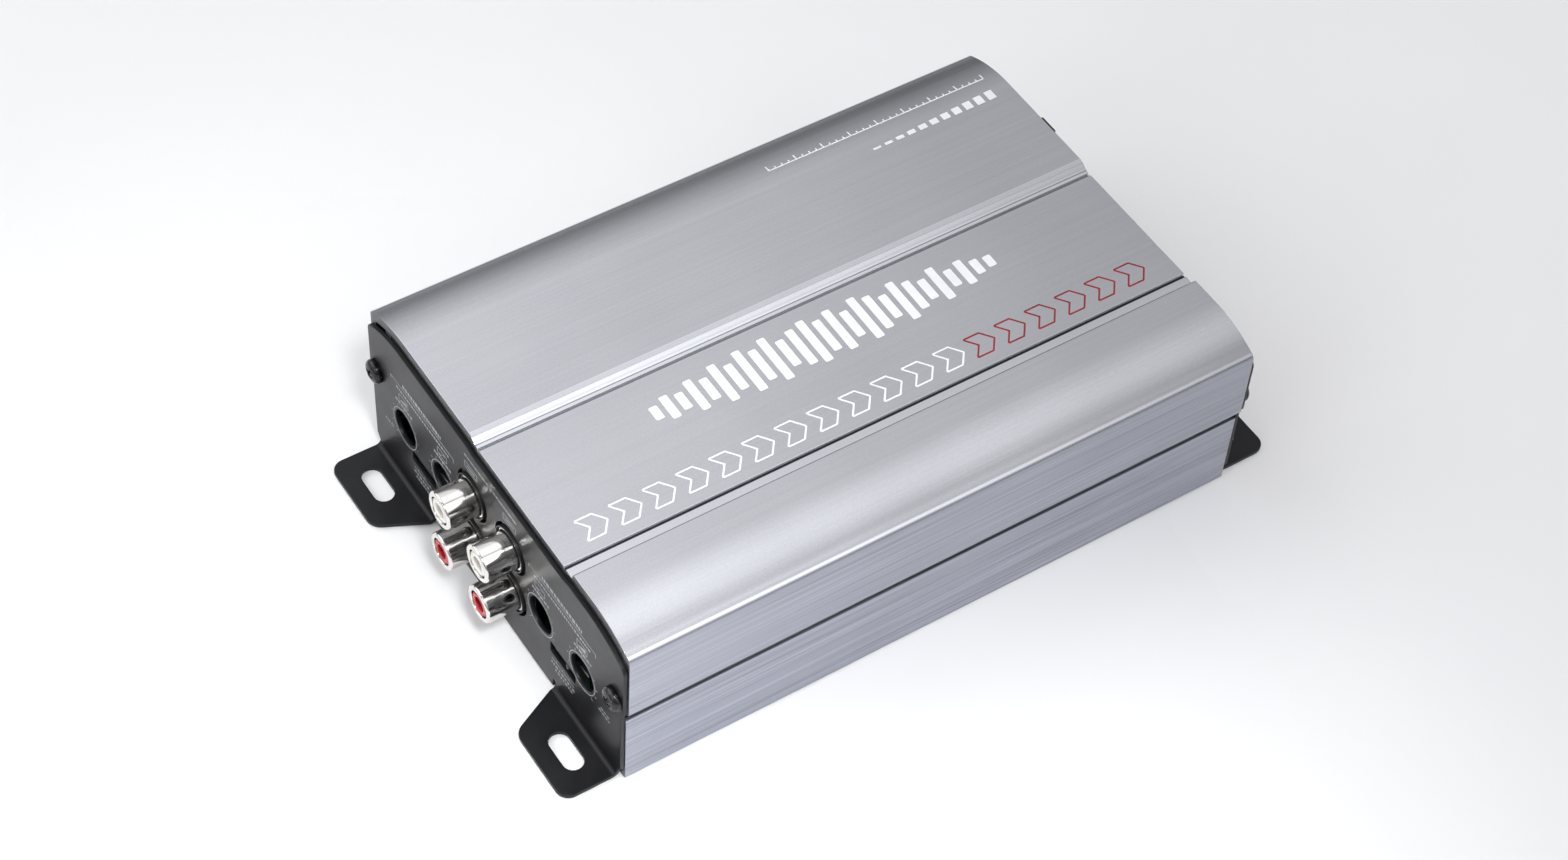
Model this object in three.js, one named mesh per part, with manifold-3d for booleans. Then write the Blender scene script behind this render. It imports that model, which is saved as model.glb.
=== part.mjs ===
// Compact four-channel car amplifier, built as an assembly of separate pieces.
// Units are millimetres, +Z is up. The origin is on the mounting plane, at the
// centre of the footprint. +X runs along the extrusion to the power/speaker
// end, -X is the end with the phono inputs and the trimmers.
import * as THREE from 'three';
import { mergeVertices } from 'three/addons/utils/BufferGeometryUtils.js';
import Module from 'manifold-3d';

const wasm = await Module();
wasm.setup();

// ---------------------------------------------------------------- dimensions
const XE = 72.75;            // half length of both extruded shells
const HW = 50.0;             // half width of the upper shell
const H_STRIP = 43.2;        // height of the two outer top strips
const H_MID = 41.9;          // height of the centre top strip
const SHOULDER_Y = 36.0;     // where the flat top turns into the shoulder arc
const SHOULDER_R = 29.0;     // radius of that arc
const CORNER_R = 1.8;        // tight radius between shoulder and side wall
const Z_SPLIT = 22.3;        // lower edge of the upper shell's walls
const WALL = 2.0;            // side wall thickness, both shells
const LOW_HW = 49.0;         // half width of the lower shell
const LOW_TOP = 19.5;        // outer top edge of the lower shell's walls
const LIP_Z = 17.9;          // lower edge of the upper shell's inner lip
const FLOOR_T = 2.0;         // floor thickness of the lower shell

const T = 1.0;               // sheet thickness of the end panels
const PX0 = XE + 0.05;       // inner face of an end panel
const PX1 = PX0 + T;         // outer face of an end panel
const FOOT_X = 85.75;        // outer edge of the mounting feet
const FOOT_Y0 = 24.2;        // inboard root of a foot
const FOOT_Y1 = 47.7;        // outboard edge of a foot
const SLOT_X = 79.5;         // slot centre in a foot
const SLOT_Y = 38.2;
const SLOT_L = 9.6;          // slot length, along Y
const SLOT_W = 4.4;          // slot width, along X
const EAR_Z0 = 2.4;          // inward ears that the base screws pull on
const EAR_Z1 = 3.4;
const EAR_X = 62.0;
const EAR_Y = [8.0, 18.0];

const PORT_Y = 46.6;         // screw ports in the upper shell
const PORT_Z = 25.2;
const PORT_R = 2.8;
const SCREW_R = 1.3;
const CLEAR_R = 1.6;
const HEAD_R = 2.7;

const BOARD_Z0 = 6.6, BOARD_Z1 = 8.2;

const POT_Y = [35.4, 19.6, -18.8, -34.6];   // trimmer axes on the input panel
const POT_Z = 18.5;
const POT_HOLE_R = 4.1;
const SW_Y = [28.0, -27.3];                 // slide switch centres
const SW_Z = 12.9;
const SW_L = 9.5, SW_H = 3.0;
const SW_TRAVEL = 2.4;

const JACK_Y = [7.6, -7.4];                 // phono jack axes
const JACK_Z = [26.8, 13.7];
const JACK_HOLE_R = 5.8;
const JACK_R = 4.15;                        // outer radius of a phono sleeve
const JACK_TIP = XE + 8.5;

const HARN = { y0: -17, y1: 15, z0: 12.0, z1: 29.5, x: XE + 6.6 };
const LEVEL = { y0: 19, y1: 39, z0: 13.0, z1: 30.0, x: XE + 7.3 };
const LATCH = { y0: 26.6, y1: 31.4, z1: 33.2 };
const FUSE = { y0: -41.5, y1: -20.5, z0: 15.5, z1: 24.5, x: XE + 2.6 };
const FUSE_Y = -31.0, FUSE_Z = 20.0;
const LED_Y = 43.6, LED_Z = 13.2;

// ------------------------------------------------------------------- helpers
const V2 = (x, y) => new THREE.Vector2(x, y);

function toSolid(geometry) {
  let g = geometry.clone();
  g.deleteAttribute('normal');
  g.deleteAttribute('uv');
  g = mergeVertices(g, 1e-4);
  const p = Float32Array.from(g.attributes.position.array);
  const idx = g.index ? Array.from(g.index.array) : [...Array(p.length / 3).keys()];
  const tri = [];
  let vol = 0;
  for (let i = 0; i < idx.length; i += 3) {
    const [a, b, c] = [idx[i], idx[i + 1], idx[i + 2]];
    if (a === b || b === c || a === c) continue;
    tri.push(a, b, c);
    const A = 3 * a, B = 3 * b, C = 3 * c;
    vol += p[A] * (p[B + 1] * p[C + 2] - p[B + 2] * p[C + 1])
         - p[A + 1] * (p[B] * p[C + 2] - p[B + 2] * p[C])
         + p[A + 2] * (p[B] * p[C + 1] - p[B + 1] * p[C]);
  }
  if (vol < 0) for (let i = 0; i < tri.length; i += 3) [tri[i + 1], tri[i + 2]] = [tri[i + 2], tri[i + 1]];
  return new wasm.Manifold(new wasm.Mesh({ numProp: 3, vertProperties: p, triVerts: Uint32Array.from(tri) }));
}

function toGeometry(solid) {
  const m = solid.getMesh();
  const g = new THREE.BufferGeometry();
  g.setAttribute('position', new THREE.BufferAttribute(new Float32Array(m.vertProperties), 3));
  g.setIndex(new THREE.BufferAttribute(new Uint32Array(m.triVerts), 1));
  g.computeVertexNormals();
  return g;
}

const join = (first, ...rest) => rest.reduce((a, b) => a.add(b), first);
const cut = (first, ...rest) => rest.reduce((a, b) => a.subtract(b), first);

function shapeOf(points, holes = []) {
  const s = new THREE.Shape(points.map(([x, y]) => V2(x, y)));
  for (const h of holes) s.holes.push(new THREE.Path(h.map(([x, y]) => V2(x, y))));
  return s;
}

// outline in (y, z), extruded along X
function alongX(points, x0, x1, holes) {
  const g = new THREE.ExtrudeGeometry(shapeOf(points, holes), { depth: x1 - x0, bevelEnabled: false });
  g.applyMatrix4(new THREE.Matrix4().makeBasis(
    new THREE.Vector3(0, 1, 0), new THREE.Vector3(0, 0, 1), new THREE.Vector3(1, 0, 0)));
  g.translate(x0, 0, 0);
  return toSolid(g);
}

// outline in (x, z), extruded along Y
function alongY(points, y0, y1, holes) {
  const g = new THREE.ExtrudeGeometry(shapeOf(points, holes), { depth: y1 - y0, bevelEnabled: false });
  g.applyMatrix4(new THREE.Matrix4().makeBasis(
    new THREE.Vector3(1, 0, 0), new THREE.Vector3(0, 0, 1), new THREE.Vector3(0, -1, 0)));
  g.translate(0, y1, 0);
  return toSolid(g);
}

// outline in (x, y), extruded along Z
function alongZ(points, z0, z1, holes) {
  const g = new THREE.ExtrudeGeometry(shapeOf(points, holes), { depth: z1 - z0, bevelEnabled: false });
  g.translate(0, 0, z0);
  return toSolid(g);
}

function box(x0, x1, y0, y1, z0, z1) {
  const g = new THREE.BoxGeometry(x1 - x0, y1 - y0, z1 - z0);
  g.translate((x0 + x1) / 2, (y0 + y1) / 2, (z0 + z1) / 2);
  return toSolid(g);
}

// turned piece: profile of (radius, distance along the axis)
function turned(profile, segments = 20) {
  return new THREE.LatheGeometry(profile.map(([r, h]) => V2(r, h)), segments);
}

// turned piece with its axis along +X (dir 1) or -X (dir -1), starting at x
function turnedX(profile, x, y, z, dir = 1, segments = 20) {
  const g = turned(profile, segments);
  g.rotateZ(-Math.PI / 2);
  if (dir < 0) g.rotateZ(Math.PI);
  g.translate(x, y, z);
  return toSolid(g);
}

function turnedZ(profile, x, y, z, dir = 1, segments = 20) {
  const g = turned(profile, segments);
  g.rotateX(dir > 0 ? Math.PI / 2 : -Math.PI / 2);
  g.translate(x, y, z);
  return toSolid(g);
}

function rodX(r, x0, x1, y, z, segments = 20) {
  return turnedX([[0, 0], [r, 0], [r, x1 - x0], [0, x1 - x0]], x0, y, z, 1, segments);
}

function rodZ(r, x, y, z0, z1, segments = 20) {
  return turnedZ([[0, 0], [r, 0], [r, z1 - z0], [0, z1 - z0]], x, y, z0, 1, segments);
}

function arc(cx, cy, r, a0, a1, n) {
  const out = [];
  for (let i = 0; i <= n; i++) {
    const a = (a0 + (a1 - a0) * i / n) * Math.PI / 180;
    out.push([cx + r * Math.cos(a), cy + r * Math.sin(a)]);
  }
  return out;
}

const circle = (cx, cy, r, n = 24) => arc(cx, cy, r, 0, 360 * (n - 1) / n, n - 1);

function slotOutline(cx, cy, width, length, n = 6) {
  const r = width / 2, h = length / 2 - r;
  return [...arc(cx, cy + h, r, 0, 180, n), ...arc(cx, cy - h, r, 180, 360, n)];
}

const rect = (x0, x1, y0, y1) => [[x0, y0], [x1, y0], [x1, y1], [x0, y1]];

const group = new THREE.Group();
group.name = 'car_amplifier';

function finish(colour, roughness, metalness) {
  return new THREE.MeshStandardMaterial({ color: colour, roughness, metalness });
}

function add(name, solid, colour, roughness, metalness, position) {
  const mesh = new THREE.Mesh(toGeometry(solid), finish(colour, roughness, metalness));
  mesh.name = name;
  if (position) mesh.position.set(...position);
  group.add(mesh);
  return mesh;
}

const ALU = [0xb6b8bf, 0.32, 1.0];
const BLACK_STEEL = [0x3a3a3d, 0.5, 0.3];
const BLACK_SCREW = [0x151516, 0.35, 0.8];
const NICKEL = [0xd8d6d0, 0.12, 1.0];
const BLACK_PLASTIC = [0x121213, 0.45, 0.0];
const RUBBER = [0x0c0c0d, 0.9, 0.0];

// --------------------------------------------------------------- upper shell
// Shoulder arc and tight corner, for the +Y side, from the flat top outwards.
const shoulderCy = H_STRIP - SHOULDER_R;
const cornerCy = HW - CORNER_R;
const kneeAngle = 26.6;
function shoulder(offset, n) {
  const R = SHOULDER_R - offset, r = Math.max(CORNER_R - offset, 0.6);
  const wall = HW - offset;
  const pts = arc(SHOULDER_Y, shoulderCy, R, 90, 90 - kneeAngle + 0.6, n);
  const [ky, kz] = pts[pts.length - 1];
  const cy = wall - r;
  const a0 = Math.acos(Math.min(1, Math.max(-1, (ky - cy) / r))) * 180 / Math.PI;
  const cz = kz - r * Math.sin(a0 * Math.PI / 180);
  return [...pts, ...arc(cy, cz, r, a0, 0, 4).slice(1)];
}
const mirrorY = (pts) => pts.map(([y, z]) => [-y, z]).reverse();

{
  const outR = shoulder(0, 8);
  const outer = [
    [-HW, Z_SPLIT],
    ...mirrorY(outR),
    // near strip, step down into the second groove, V line, centre strip
    [-30.2, H_STRIP], [-29.8, H_STRIP - 0.12], [-29.45, H_STRIP - 0.5], [-29.2, H_MID - 0.2], [-28.9, H_MID - 0.35],
    [-27.0, H_MID - 0.2], [-26.75, H_MID - 0.7], [-26.45, H_MID - 0.7], [-26.2, H_MID],
    [5.8, H_MID], [6.05, H_MID - 0.7], [6.35, H_MID - 0.7], [6.6, H_MID - 0.1],
    [7.5, H_MID + 0.05], [8.1, H_MID + 0.45], [8.7, H_STRIP - 0.3], [9.3, H_STRIP - 0.06], [9.8, H_STRIP],
    ...outR,
    [HW, Z_SPLIT],
  ];
  const inR = shoulder(2.3, 5).map(([y, z]) => [Math.min(y, HW - WALL), z]);
  const lip = [[HW - WALL, Z_SPLIT], [HW - WALL, LIP_Z], [46.8, LIP_Z], [46.8, 24.2], [HW - WALL, 24.2]];
  const inner = [
    ...lip,
    ...inR.reverse(),
    [7.6, H_STRIP - 2.3], [6.2, H_MID - 2.1], [-26.6, H_MID - 2.1], [-28.0, H_STRIP - 2.3],
    ...mirrorY(shoulder(2.3, 5)).reverse().map(([y, z]) => [Math.max(y, -(HW - WALL)), z]),
    ...mirrorY(lip),
  ];
  let shell = alongX([...outer, ...inner], -XE, XE);
  const web = box(-XE, XE, 41.2, 44.1, 16.5, 40.6);          // wall that the devices are clamped to
  shell = shell.add(web);
  for (const s of [1, -1]) {
    const port = alongX([
      ...arc(s * PORT_Y, PORT_Z, PORT_R, 0, 345, 23)], -XE, XE);
    const rib = box(-XE, XE, ...(s > 0 ? [PORT_Y + 1.2, 48.6] : [-48.6, -PORT_Y - 1.2]), PORT_Z - 2.2, PORT_Z + 2.2);
    shell = shell.add(port).add(rib);
  }
  for (const s of [1, -1]) shell = shell.subtract(alongX(circle(s * PORT_Y, PORT_Z, CLEAR_R, 16), -XE - 1, XE + 1));
  // tapped holes in the device wall for the clamp bar
  for (const x of [-34, 6]) {
    const g = turned([[0, 0], [CLEAR_R, 0], [CLEAR_R, 3.3], [0, 3.3]], 16);
    g.translate(x, 41.0, 23.0);
    shell = shell.subtract(toSolid(g));
  }
  add('heatsink_shell', shell, ...ALU);
}

// --------------------------------------------------------------- lower shell
{
  const iw = LOW_HW - WALL;
  const side = [
    [LOW_HW - 0.6, 0], [LOW_HW, 0.6], [LOW_HW, LOW_TOP - 0.3], [LOW_HW - 0.3, LOW_TOP],
    [48.25, LOW_TOP], [48.25, 17.5], [47.4, 17.2], [iw, 16.8],
    // board groove
    [iw, 9.8], [45.2, 9.6], [45.2, 8.4], [47.2, 8.4], [47.2, 6.4], [45.2, 6.4], [45.2, 5.2], [iw, 5.0],
    [iw, FLOOR_T + 0.8], [iw - 0.8, FLOOR_T],
  ];
  let base = alongX([...side, ...mirrorY(side)], -XE, XE);
  // countersunk holes for the base screws
  for (const sx of [1, -1]) for (const sy of [1, -1]) {
    base = base.subtract(turnedZ([[0, 0], [3.0, 0], [3.0, 0.4], [1.65, 1.75], [1.65, 3.0], [0, 3.0]],
      sx * 67, sy * 13, -0.2, 1, 20));
  }
  add('base_shell', base, ...ALU);
}

// ---------------------------------------------------------------- end panels
function panelOutline() {
  // +Y half from the bottom centre to the top centre
  const topArc = arc(SHOULDER_Y, shoulderCy, SHOULDER_R - 2.9, 90, 66.5, 6).reverse();
  const [ty, tz] = topArc[0];
  return {
    right: [
      [FOOT_Y0 - 0.9, 0.4], [FOOT_Y0 - 0.9, 2.8], [FOOT_Y0, 2.8], [FOOT_Y0, 2.2],
      [FOOT_Y1, 2.2], [48.8, 3.8], [48.8, 21.6], [49.6, 22.6],
      [49.6, tz - 2.4], [49.35, tz - 1.3], [48.6, tz - 0.45], ...topArc,
    ],
  };
}

function bendStrip(s) {
  // quarter bend between the upright sheet and a foot, in (x, z)
  const ri = 1.2, ro = ri + T;
  const cx = PX1 + ri, cz = ro;
  const inner = arc(cx, cz, ri, 180, 270, 4);     // from (PX1, cz) to (cx, T)
  const outer = arc(cx, cz, ro, 270, 180, 5);     // from (cx, 0) to (PX0, cz)
  const pts = [...inner, [cx + 0.4, T], [cx + 0.4, 0], ...outer, [PX0, cz + 0.6], [PX1, cz + 0.6]];
  return alongY(pts, s > 0 ? FOOT_Y0 : -FOOT_Y1, s > 0 ? FOOT_Y1 : -FOOT_Y0);
}

function footPlate(s) {
  const x0 = PX1 + 1.4;
  const r1 = 2.8;
  const pts = [
    [x0, FOOT_Y0 + 0.15], [83.6, 29.0],
    ...arc(83.0, 31.6, 2.75, -70, 0, 4).map(([x, y]) => [Math.min(x, FOOT_X), y]),
    ...arc(FOOT_X - r1, FOOT_Y1 - r1, r1, 0, 90, 5),
    [x0, FOOT_Y1],
  ];
  const hole = slotOutline(SLOT_X, SLOT_Y, SLOT_W, SLOT_L, 7);
  let plate = alongZ(pts, 0, T, [hole.reverse()]);
  if (s < 0) plate = mirrored(plate, 'y');
  return plate;
}

function mirrored(solid, axis) {
  const g = toGeometry(solid);
  const m = new THREE.Matrix4().makeScale(axis === 'x' ? -1 : 1, axis === 'y' ? -1 : 1, 1);
  g.applyMatrix4(m);
  return toSolid(g);
}

function endPanel() {
  const { right } = panelOutline();
  const top = [[9.2, 40.3], [7.0, 39.75]];
  const topL = [[-27.2, 39.75], [-29.4, 40.3]];
  const left = right.map(([y, z]) => [-y, z]).reverse();
  const outline = [...right, ...top, ...topL, ...left];
  let p = alongX(outline, PX0, PX1);
  for (const s of [1, -1]) {
    p = join(p, bendStrip(s), footPlate(s));
    // inward ear
    const ear = s > 0 ? box(EAR_X, PX1, EAR_Y[0], EAR_Y[1], EAR_Z0, EAR_Z1)
      : box(EAR_X, PX1, -EAR_Y[1], -EAR_Y[0], EAR_Z0, EAR_Z1);
    p = p.add(ear);
    p = p.subtract(rodZ(CLEAR_R, 67, s * 13, EAR_Z0 - 1, EAR_Z1 + 1, 16));
    p = p.subtract(rodX(CLEAR_R, PX0 - 1, PX1 + 1, s * PORT_Y, PORT_Z, 16));
  }
  return p;
}

{
  // input end: built at +X, mirrored to -X, then pierced
  let p = mirrored(endPanel(), 'x');
  for (const y of POT_Y) p = p.subtract(rodX(POT_HOLE_R, -PX1 - 1, -PX0 + 1, y, POT_Z, 20));
  for (const y of SW_Y) p = p.subtract(box(-PX1 - 1, -PX0 + 1, y - SW_L / 2, y + SW_L / 2, SW_Z - SW_H / 2, SW_Z + SW_H / 2));
  for (const y of JACK_Y) for (const z of JACK_Z) p = p.subtract(rodX(JACK_HOLE_R, -PX1 - 1, -PX0 + 1, y, z, 20));
  add('input_panel', p, ...BLACK_STEEL);
}
{
  let p = endPanel();
  const c = 0.4;
  p = p.subtract(box(PX0 - 1, PX1 + 1, HARN.y0 - c, HARN.y1 + c, HARN.z0 - c, HARN.z1 + c));
  p = p.subtract(box(PX0 - 1, PX1 + 1, LEVEL.y0 - c, LEVEL.y1 + c, LEVEL.z0 - c, LEVEL.z1 + c));
  p = p.subtract(box(PX0 - 1, PX1 + 1, LATCH.y0 - c, LATCH.y1 + c, LEVEL.z1 - 1, LATCH.z1 + c));
  p = p.subtract(box(PX0 - 1, PX1 + 1, FUSE.y0 - c, FUSE.y1 + c, FUSE.z0 - c, FUSE.z1 + c));
  p = p.subtract(rodX(1.75, PX0 - 1, PX1 + 1, LED_Y, LED_Z, 20));
  add('output_panel', p, ...BLACK_STEEL);
}

// ------------------------------------------------------------------- gaskets
// Foam strip inside the mouth of the upper shell, behind the top of each panel.
function gasket(x0, x1) {
  const a = shoulder(2.6, 5).map(([y, z]) => [Math.min(y, 47.7), z]);
  const b = shoulder(4.4, 5).map(([y, z]) => [Math.min(y, 45.9), z]).reverse();
  const right = [[47.7, 29.2], ...a.slice().reverse()];
  const outer = [...right, [7.8, H_STRIP - 2.6], [6.3, H_MID - 2.4], [-26.7, H_MID - 2.4], [-28.2, H_STRIP - 2.6],
    ...right.slice().reverse().map(([y, z]) => [-y, z])];
  const inR = [[45.9, 29.2], ...b];
  const inner = [...inR, [8.2, H_STRIP - 4.4], [6.7, H_MID - 4.2], [-27.1, H_MID - 4.2], [-28.6, H_STRIP - 4.4],
    ...inR.slice().reverse().map(([y, z]) => [-y, z])].reverse();
  return alongX([...outer, ...inner], x0, x1);
}
{
  // the device wall runs into the mouth at +Y, so the strip is notched round it
  const notch = (x0, x1) => box(x0, x1, 40.9, 44.4, 28, 41.2);
  add('input_gasket', largest(cut(gasket(-XE + 0.05, -XE + 1.25), notch(-XE - 1, -XE + 2))), ...RUBBER);
  add('output_gasket', largest(cut(gasket(XE - 1.25, XE - 0.05), notch(XE - 2, XE + 1))), ...RUBBER);
}
function largest(solid) {
  const parts = solid.decompose();
  return parts.reduce((a, b) => (volumeOf(b) > volumeOf(a) ? b : a));
}
function volumeOf(s) { return typeof s.volume === 'function' ? s.volume() : s.getProperties().volume; }

// -------------------------------------------------------------------- screws
function crossRecess(size, width) {
  const a = size / 2, w = width / 2;
  return [[-a, -w], [-w, -w], [-w, -a], [w, -a], [w, -w], [a, -w], [a, w], [w, w], [w, a], [-w, a], [-w, w], [-a, w]];
}
function panScrew(sign, y) {
  const prof = [[0, 0], [SCREW_R, 0], [SCREW_R, 8.05], [HEAD_R, 8.05], [HEAD_R, 8.7], [2.45, 9.25], [1.8, 9.65], [0.9, 9.85], [0, 9.9]];
  const x = PX1 - 8.0;
  let s = turnedX(prof, x, y, PORT_Z, 1, 14);
  const recess = alongX(crossRecess(2.8, 0.75).map(([a, b]) => [a + y, b + PORT_Z]), x + 8.7, x + 11);
  s = s.subtract(recess);
  return sign > 0 ? s : mirrored(s, 'x');
}
add('panel_screw_input_far', panScrew(-1, PORT_Y), ...BLACK_SCREW);
add('panel_screw_input_near', panScrew(-1, -PORT_Y), ...BLACK_SCREW);
add('panel_screw_output_far', panScrew(1, PORT_Y), ...BLACK_SCREW);
add('panel_screw_output_near', panScrew(1, -PORT_Y), ...BLACK_SCREW);

function baseScrew(x, y) {
  let s = turnedZ([[0, 0], [2.75, 0], [2.75, 0.2], [1.3, 1.6], [1.3, 5.2], [0, 5.2]], x, y, 0.1, 1, 12);
  const recess = alongZ(crossRecess(2.4, 0.7).map(([a, b]) => [a + x, b + y]), -0.5, 0.9);
  return s.subtract(recess);
}
add('base_screw_1', baseScrew(-67, 13), ...BLACK_SCREW);
add('base_screw_2', baseScrew(-67, -13), ...BLACK_SCREW);
add('base_screw_3', baseScrew(67, 13), ...BLACK_SCREW);
add('base_screw_4', baseScrew(67, -13), ...BLACK_SCREW);

// --------------------------------------------------------------- main board
add('main_board', box(-71.5, 71.5, -46.6, 46.6, BOARD_Z0, BOARD_Z1), 0x1f5a36, 0.4, 0.0);

// ------------------------------------------------------------------ trimmers
const potNames = ['gain_a', 'crossover_a', 'crossover_b', 'gain_b'];
POT_Y.forEach((y, i) => {
  let body = box(-67.0, -60.5, y - 4.5, y + 4.5, BOARD_Z1 + 0.1, POT_Z + 4.9);
  body = body.add(rodX(3.9, -69.3, -66, y, POT_Z, 20));
  body = body.subtract(rodX(3.1, -70, -65.2, y, POT_Z, 20));
  add(`${potNames[i]}_trimmer_body`, body, ...BLACK_PLASTIC);
  let rotor = rodX(2.85, -4.1, 0, 0, 0, 20);
  rotor = rotor.subtract(box(-5, -3.2, -2.3, 2.3, -0.45, 0.45));
  add(`${potNames[i]}_trimmer_rotor`, rotor, 0x1a1a1c, 0.5, 0.0, [-65.4, y, POT_Z]);
});

// ------------------------------------------------------------ slide switches
const swNames = ['filter_switch_a', 'filter_switch_b'];
SW_Y.forEach((y, i) => {
  let body = box(-70.8, -67.3, y - 5.3, y + 5.3, BOARD_Z1 + 0.1, 14.9);
  body = body.subtract(box(-72, -69.5, y - 4.65, y + 4.65, SW_Z - 1.3, SW_Z + 1.3));
  add(`${swNames[i]}_body`, body, 0x9a9a9a, 0.4, 0.6);
  add(`${swNames[i]}_knob`, box(-1.6, 1.6, -1.7, 1.7, -1.0, 1.0), ...BLACK_PLASTIC, [-71.4, y, SW_Z]);
});

// --------------------------------------------------------------- phono jacks
JACK_Y.forEach((y, i) => {
  let h = box(-71.9, -60.0, y - 6.4, y + 6.4, BOARD_Z1 + 0.1, 33.8);
  for (const z of JACK_Z) h = h.add(rodX(5.1, -74.3, -71.8, y, z, 18));
  for (const z of JACK_Z) {
    h = h.subtract(rodX(4.8, -75, -73.3, y, z, 18));
    h = h.subtract(rodX(4.35, -75, -67.6, y, z, 18));
  }
  add(`phono_housing_${'ab'[i]}`, h, ...BLACK_PLASTIC);
  JACK_Z.forEach((z, j) => {
    const tag = `${'ab'[i]}_${['left', 'right'][j]}`;
    const L = JACK_TIP;              // tip plane, as a distance from the origin
    const sleeve = turnedX([
      [3.0, 67.8], [3.0, L - 0.25], [3.25, L], [3.75, L], [JACK_R, L - 0.4],
      [JACK_R, 73.9], [4.6, 73.9], [4.6, 73.4], [JACK_R, 73.4], [JACK_R, 67.8], [3.0, 67.8]],
      0, y, z, -1, 18);
    add(`phono_sleeve_${tag}`, sleeve, ...NICKEL);
    const ins = turnedX([
      [0, 67.8], [2.75, 67.8], [2.75, L - 0.35], [2.55, L - 0.15], [1.75, L - 0.15], [1.65, L - 0.4],
      [1.65, 71.0], [0, 71.0]], 0, y, z, -1, 14);
    add(`phono_insulator_${tag}`, ins, j === 0 ? 0xe8e6e0 : 0xa8232f, 0.35, 0.0);
  });
});

// --------------------------------------------------- connectors, output end
{
  const h = HARN;
  let s = box(60.5, 72.2, h.y0, h.y1, BOARD_Z1 + 0.1, h.z1);
  s = s.add(box(70, h.x, h.y0, h.y1, h.z0, h.z1));
  s = s.subtract(box(69.5, h.x + 1, h.y0 + 1.4, h.y1 - 1.4, h.z0 + 1.4, h.z1 - 1.4));
  s = s.subtract(box(73.0 + 1.4, h.x + 1, -4, 2, h.z1 - 2, h.z1 + 1));   // latch window
  add('harness_header', s, ...BLACK_PLASTIC);
}
{
  const h = LEVEL;
  let s = box(60.5, 72.2, h.y0, h.y1, BOARD_Z1 + 0.1, h.z1);
  s = s.add(box(70, h.x, h.y0, h.y1, h.z0, h.z1));
  s = s.add(box(71, h.x, LATCH.y0, LATCH.y1, h.z1 - 0.5, LATCH.z1));
  s = s.subtract(box(69.5, h.x + 1, h.y0 + 1.4, h.y1 - 1.4, h.z0 + 1.4, h.z1 - 1.4));
  s = s.subtract(box(74.5, h.x + 1, LATCH.y0 + 1.2, LATCH.y1 - 1.2, h.z1 - 2, LATCH.z1 - 1.1));
  add('level_input_header', s, ...BLACK_PLASTIC);
}
{
  const f = FUSE;
  let s = box(60.5, 72.2, f.y0, f.y1, BOARD_Z1 + 0.1, f.z1);
  s = s.add(box(70, f.x, f.y0, f.y1, f.z0, f.z1));
  s = s.subtract(box(71.2, f.x + 1, FUSE_Y - 9.8, FUSE_Y + 9.8, FUSE_Z - 2.85, FUSE_Z + 2.85));
  for (const d of [-6.9, 6.9]) s = s.subtract(box(62.5, 72, FUSE_Y + d - 2.9, FUSE_Y + d + 2.9, FUSE_Z - 0.7, FUSE_Z + 0.7));
  add('fuse_socket', s, ...BLACK_PLASTIC);
  let b = box(0, 10.6, -9.1, 9.1, -2.35, 2.35);
  b = b.add(box(7.4, 11.0, -9.55, 9.55, -2.55, 2.55));
  for (const d of [-6.9, 6.9]) b = b.add(alongZ([[1, d - 2.6], [1, d + 2.6], [-6.6, d + 2.6], [-7.8, d + 1.4], [-7.8, d - 1.4], [-6.6, d - 2.6]], -0.35, 0.35));
  add('fuse', b, 0xe0a11c, 0.3, 0.0, [71.5, FUSE_Y, FUSE_Z]);
}
{
  const led = turnedX([[0, 0], [1.95, 0], [1.95, 1.0], [1.5, 1.0], [1.5, 4.0], [1.35, 4.7], [0.85, 5.25], [0, 5.5]], 69.2, LED_Y, LED_Z, 1, 16);
  add('status_led', led, 0xcfe4d2, 0.15, 0.0);
}

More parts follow.
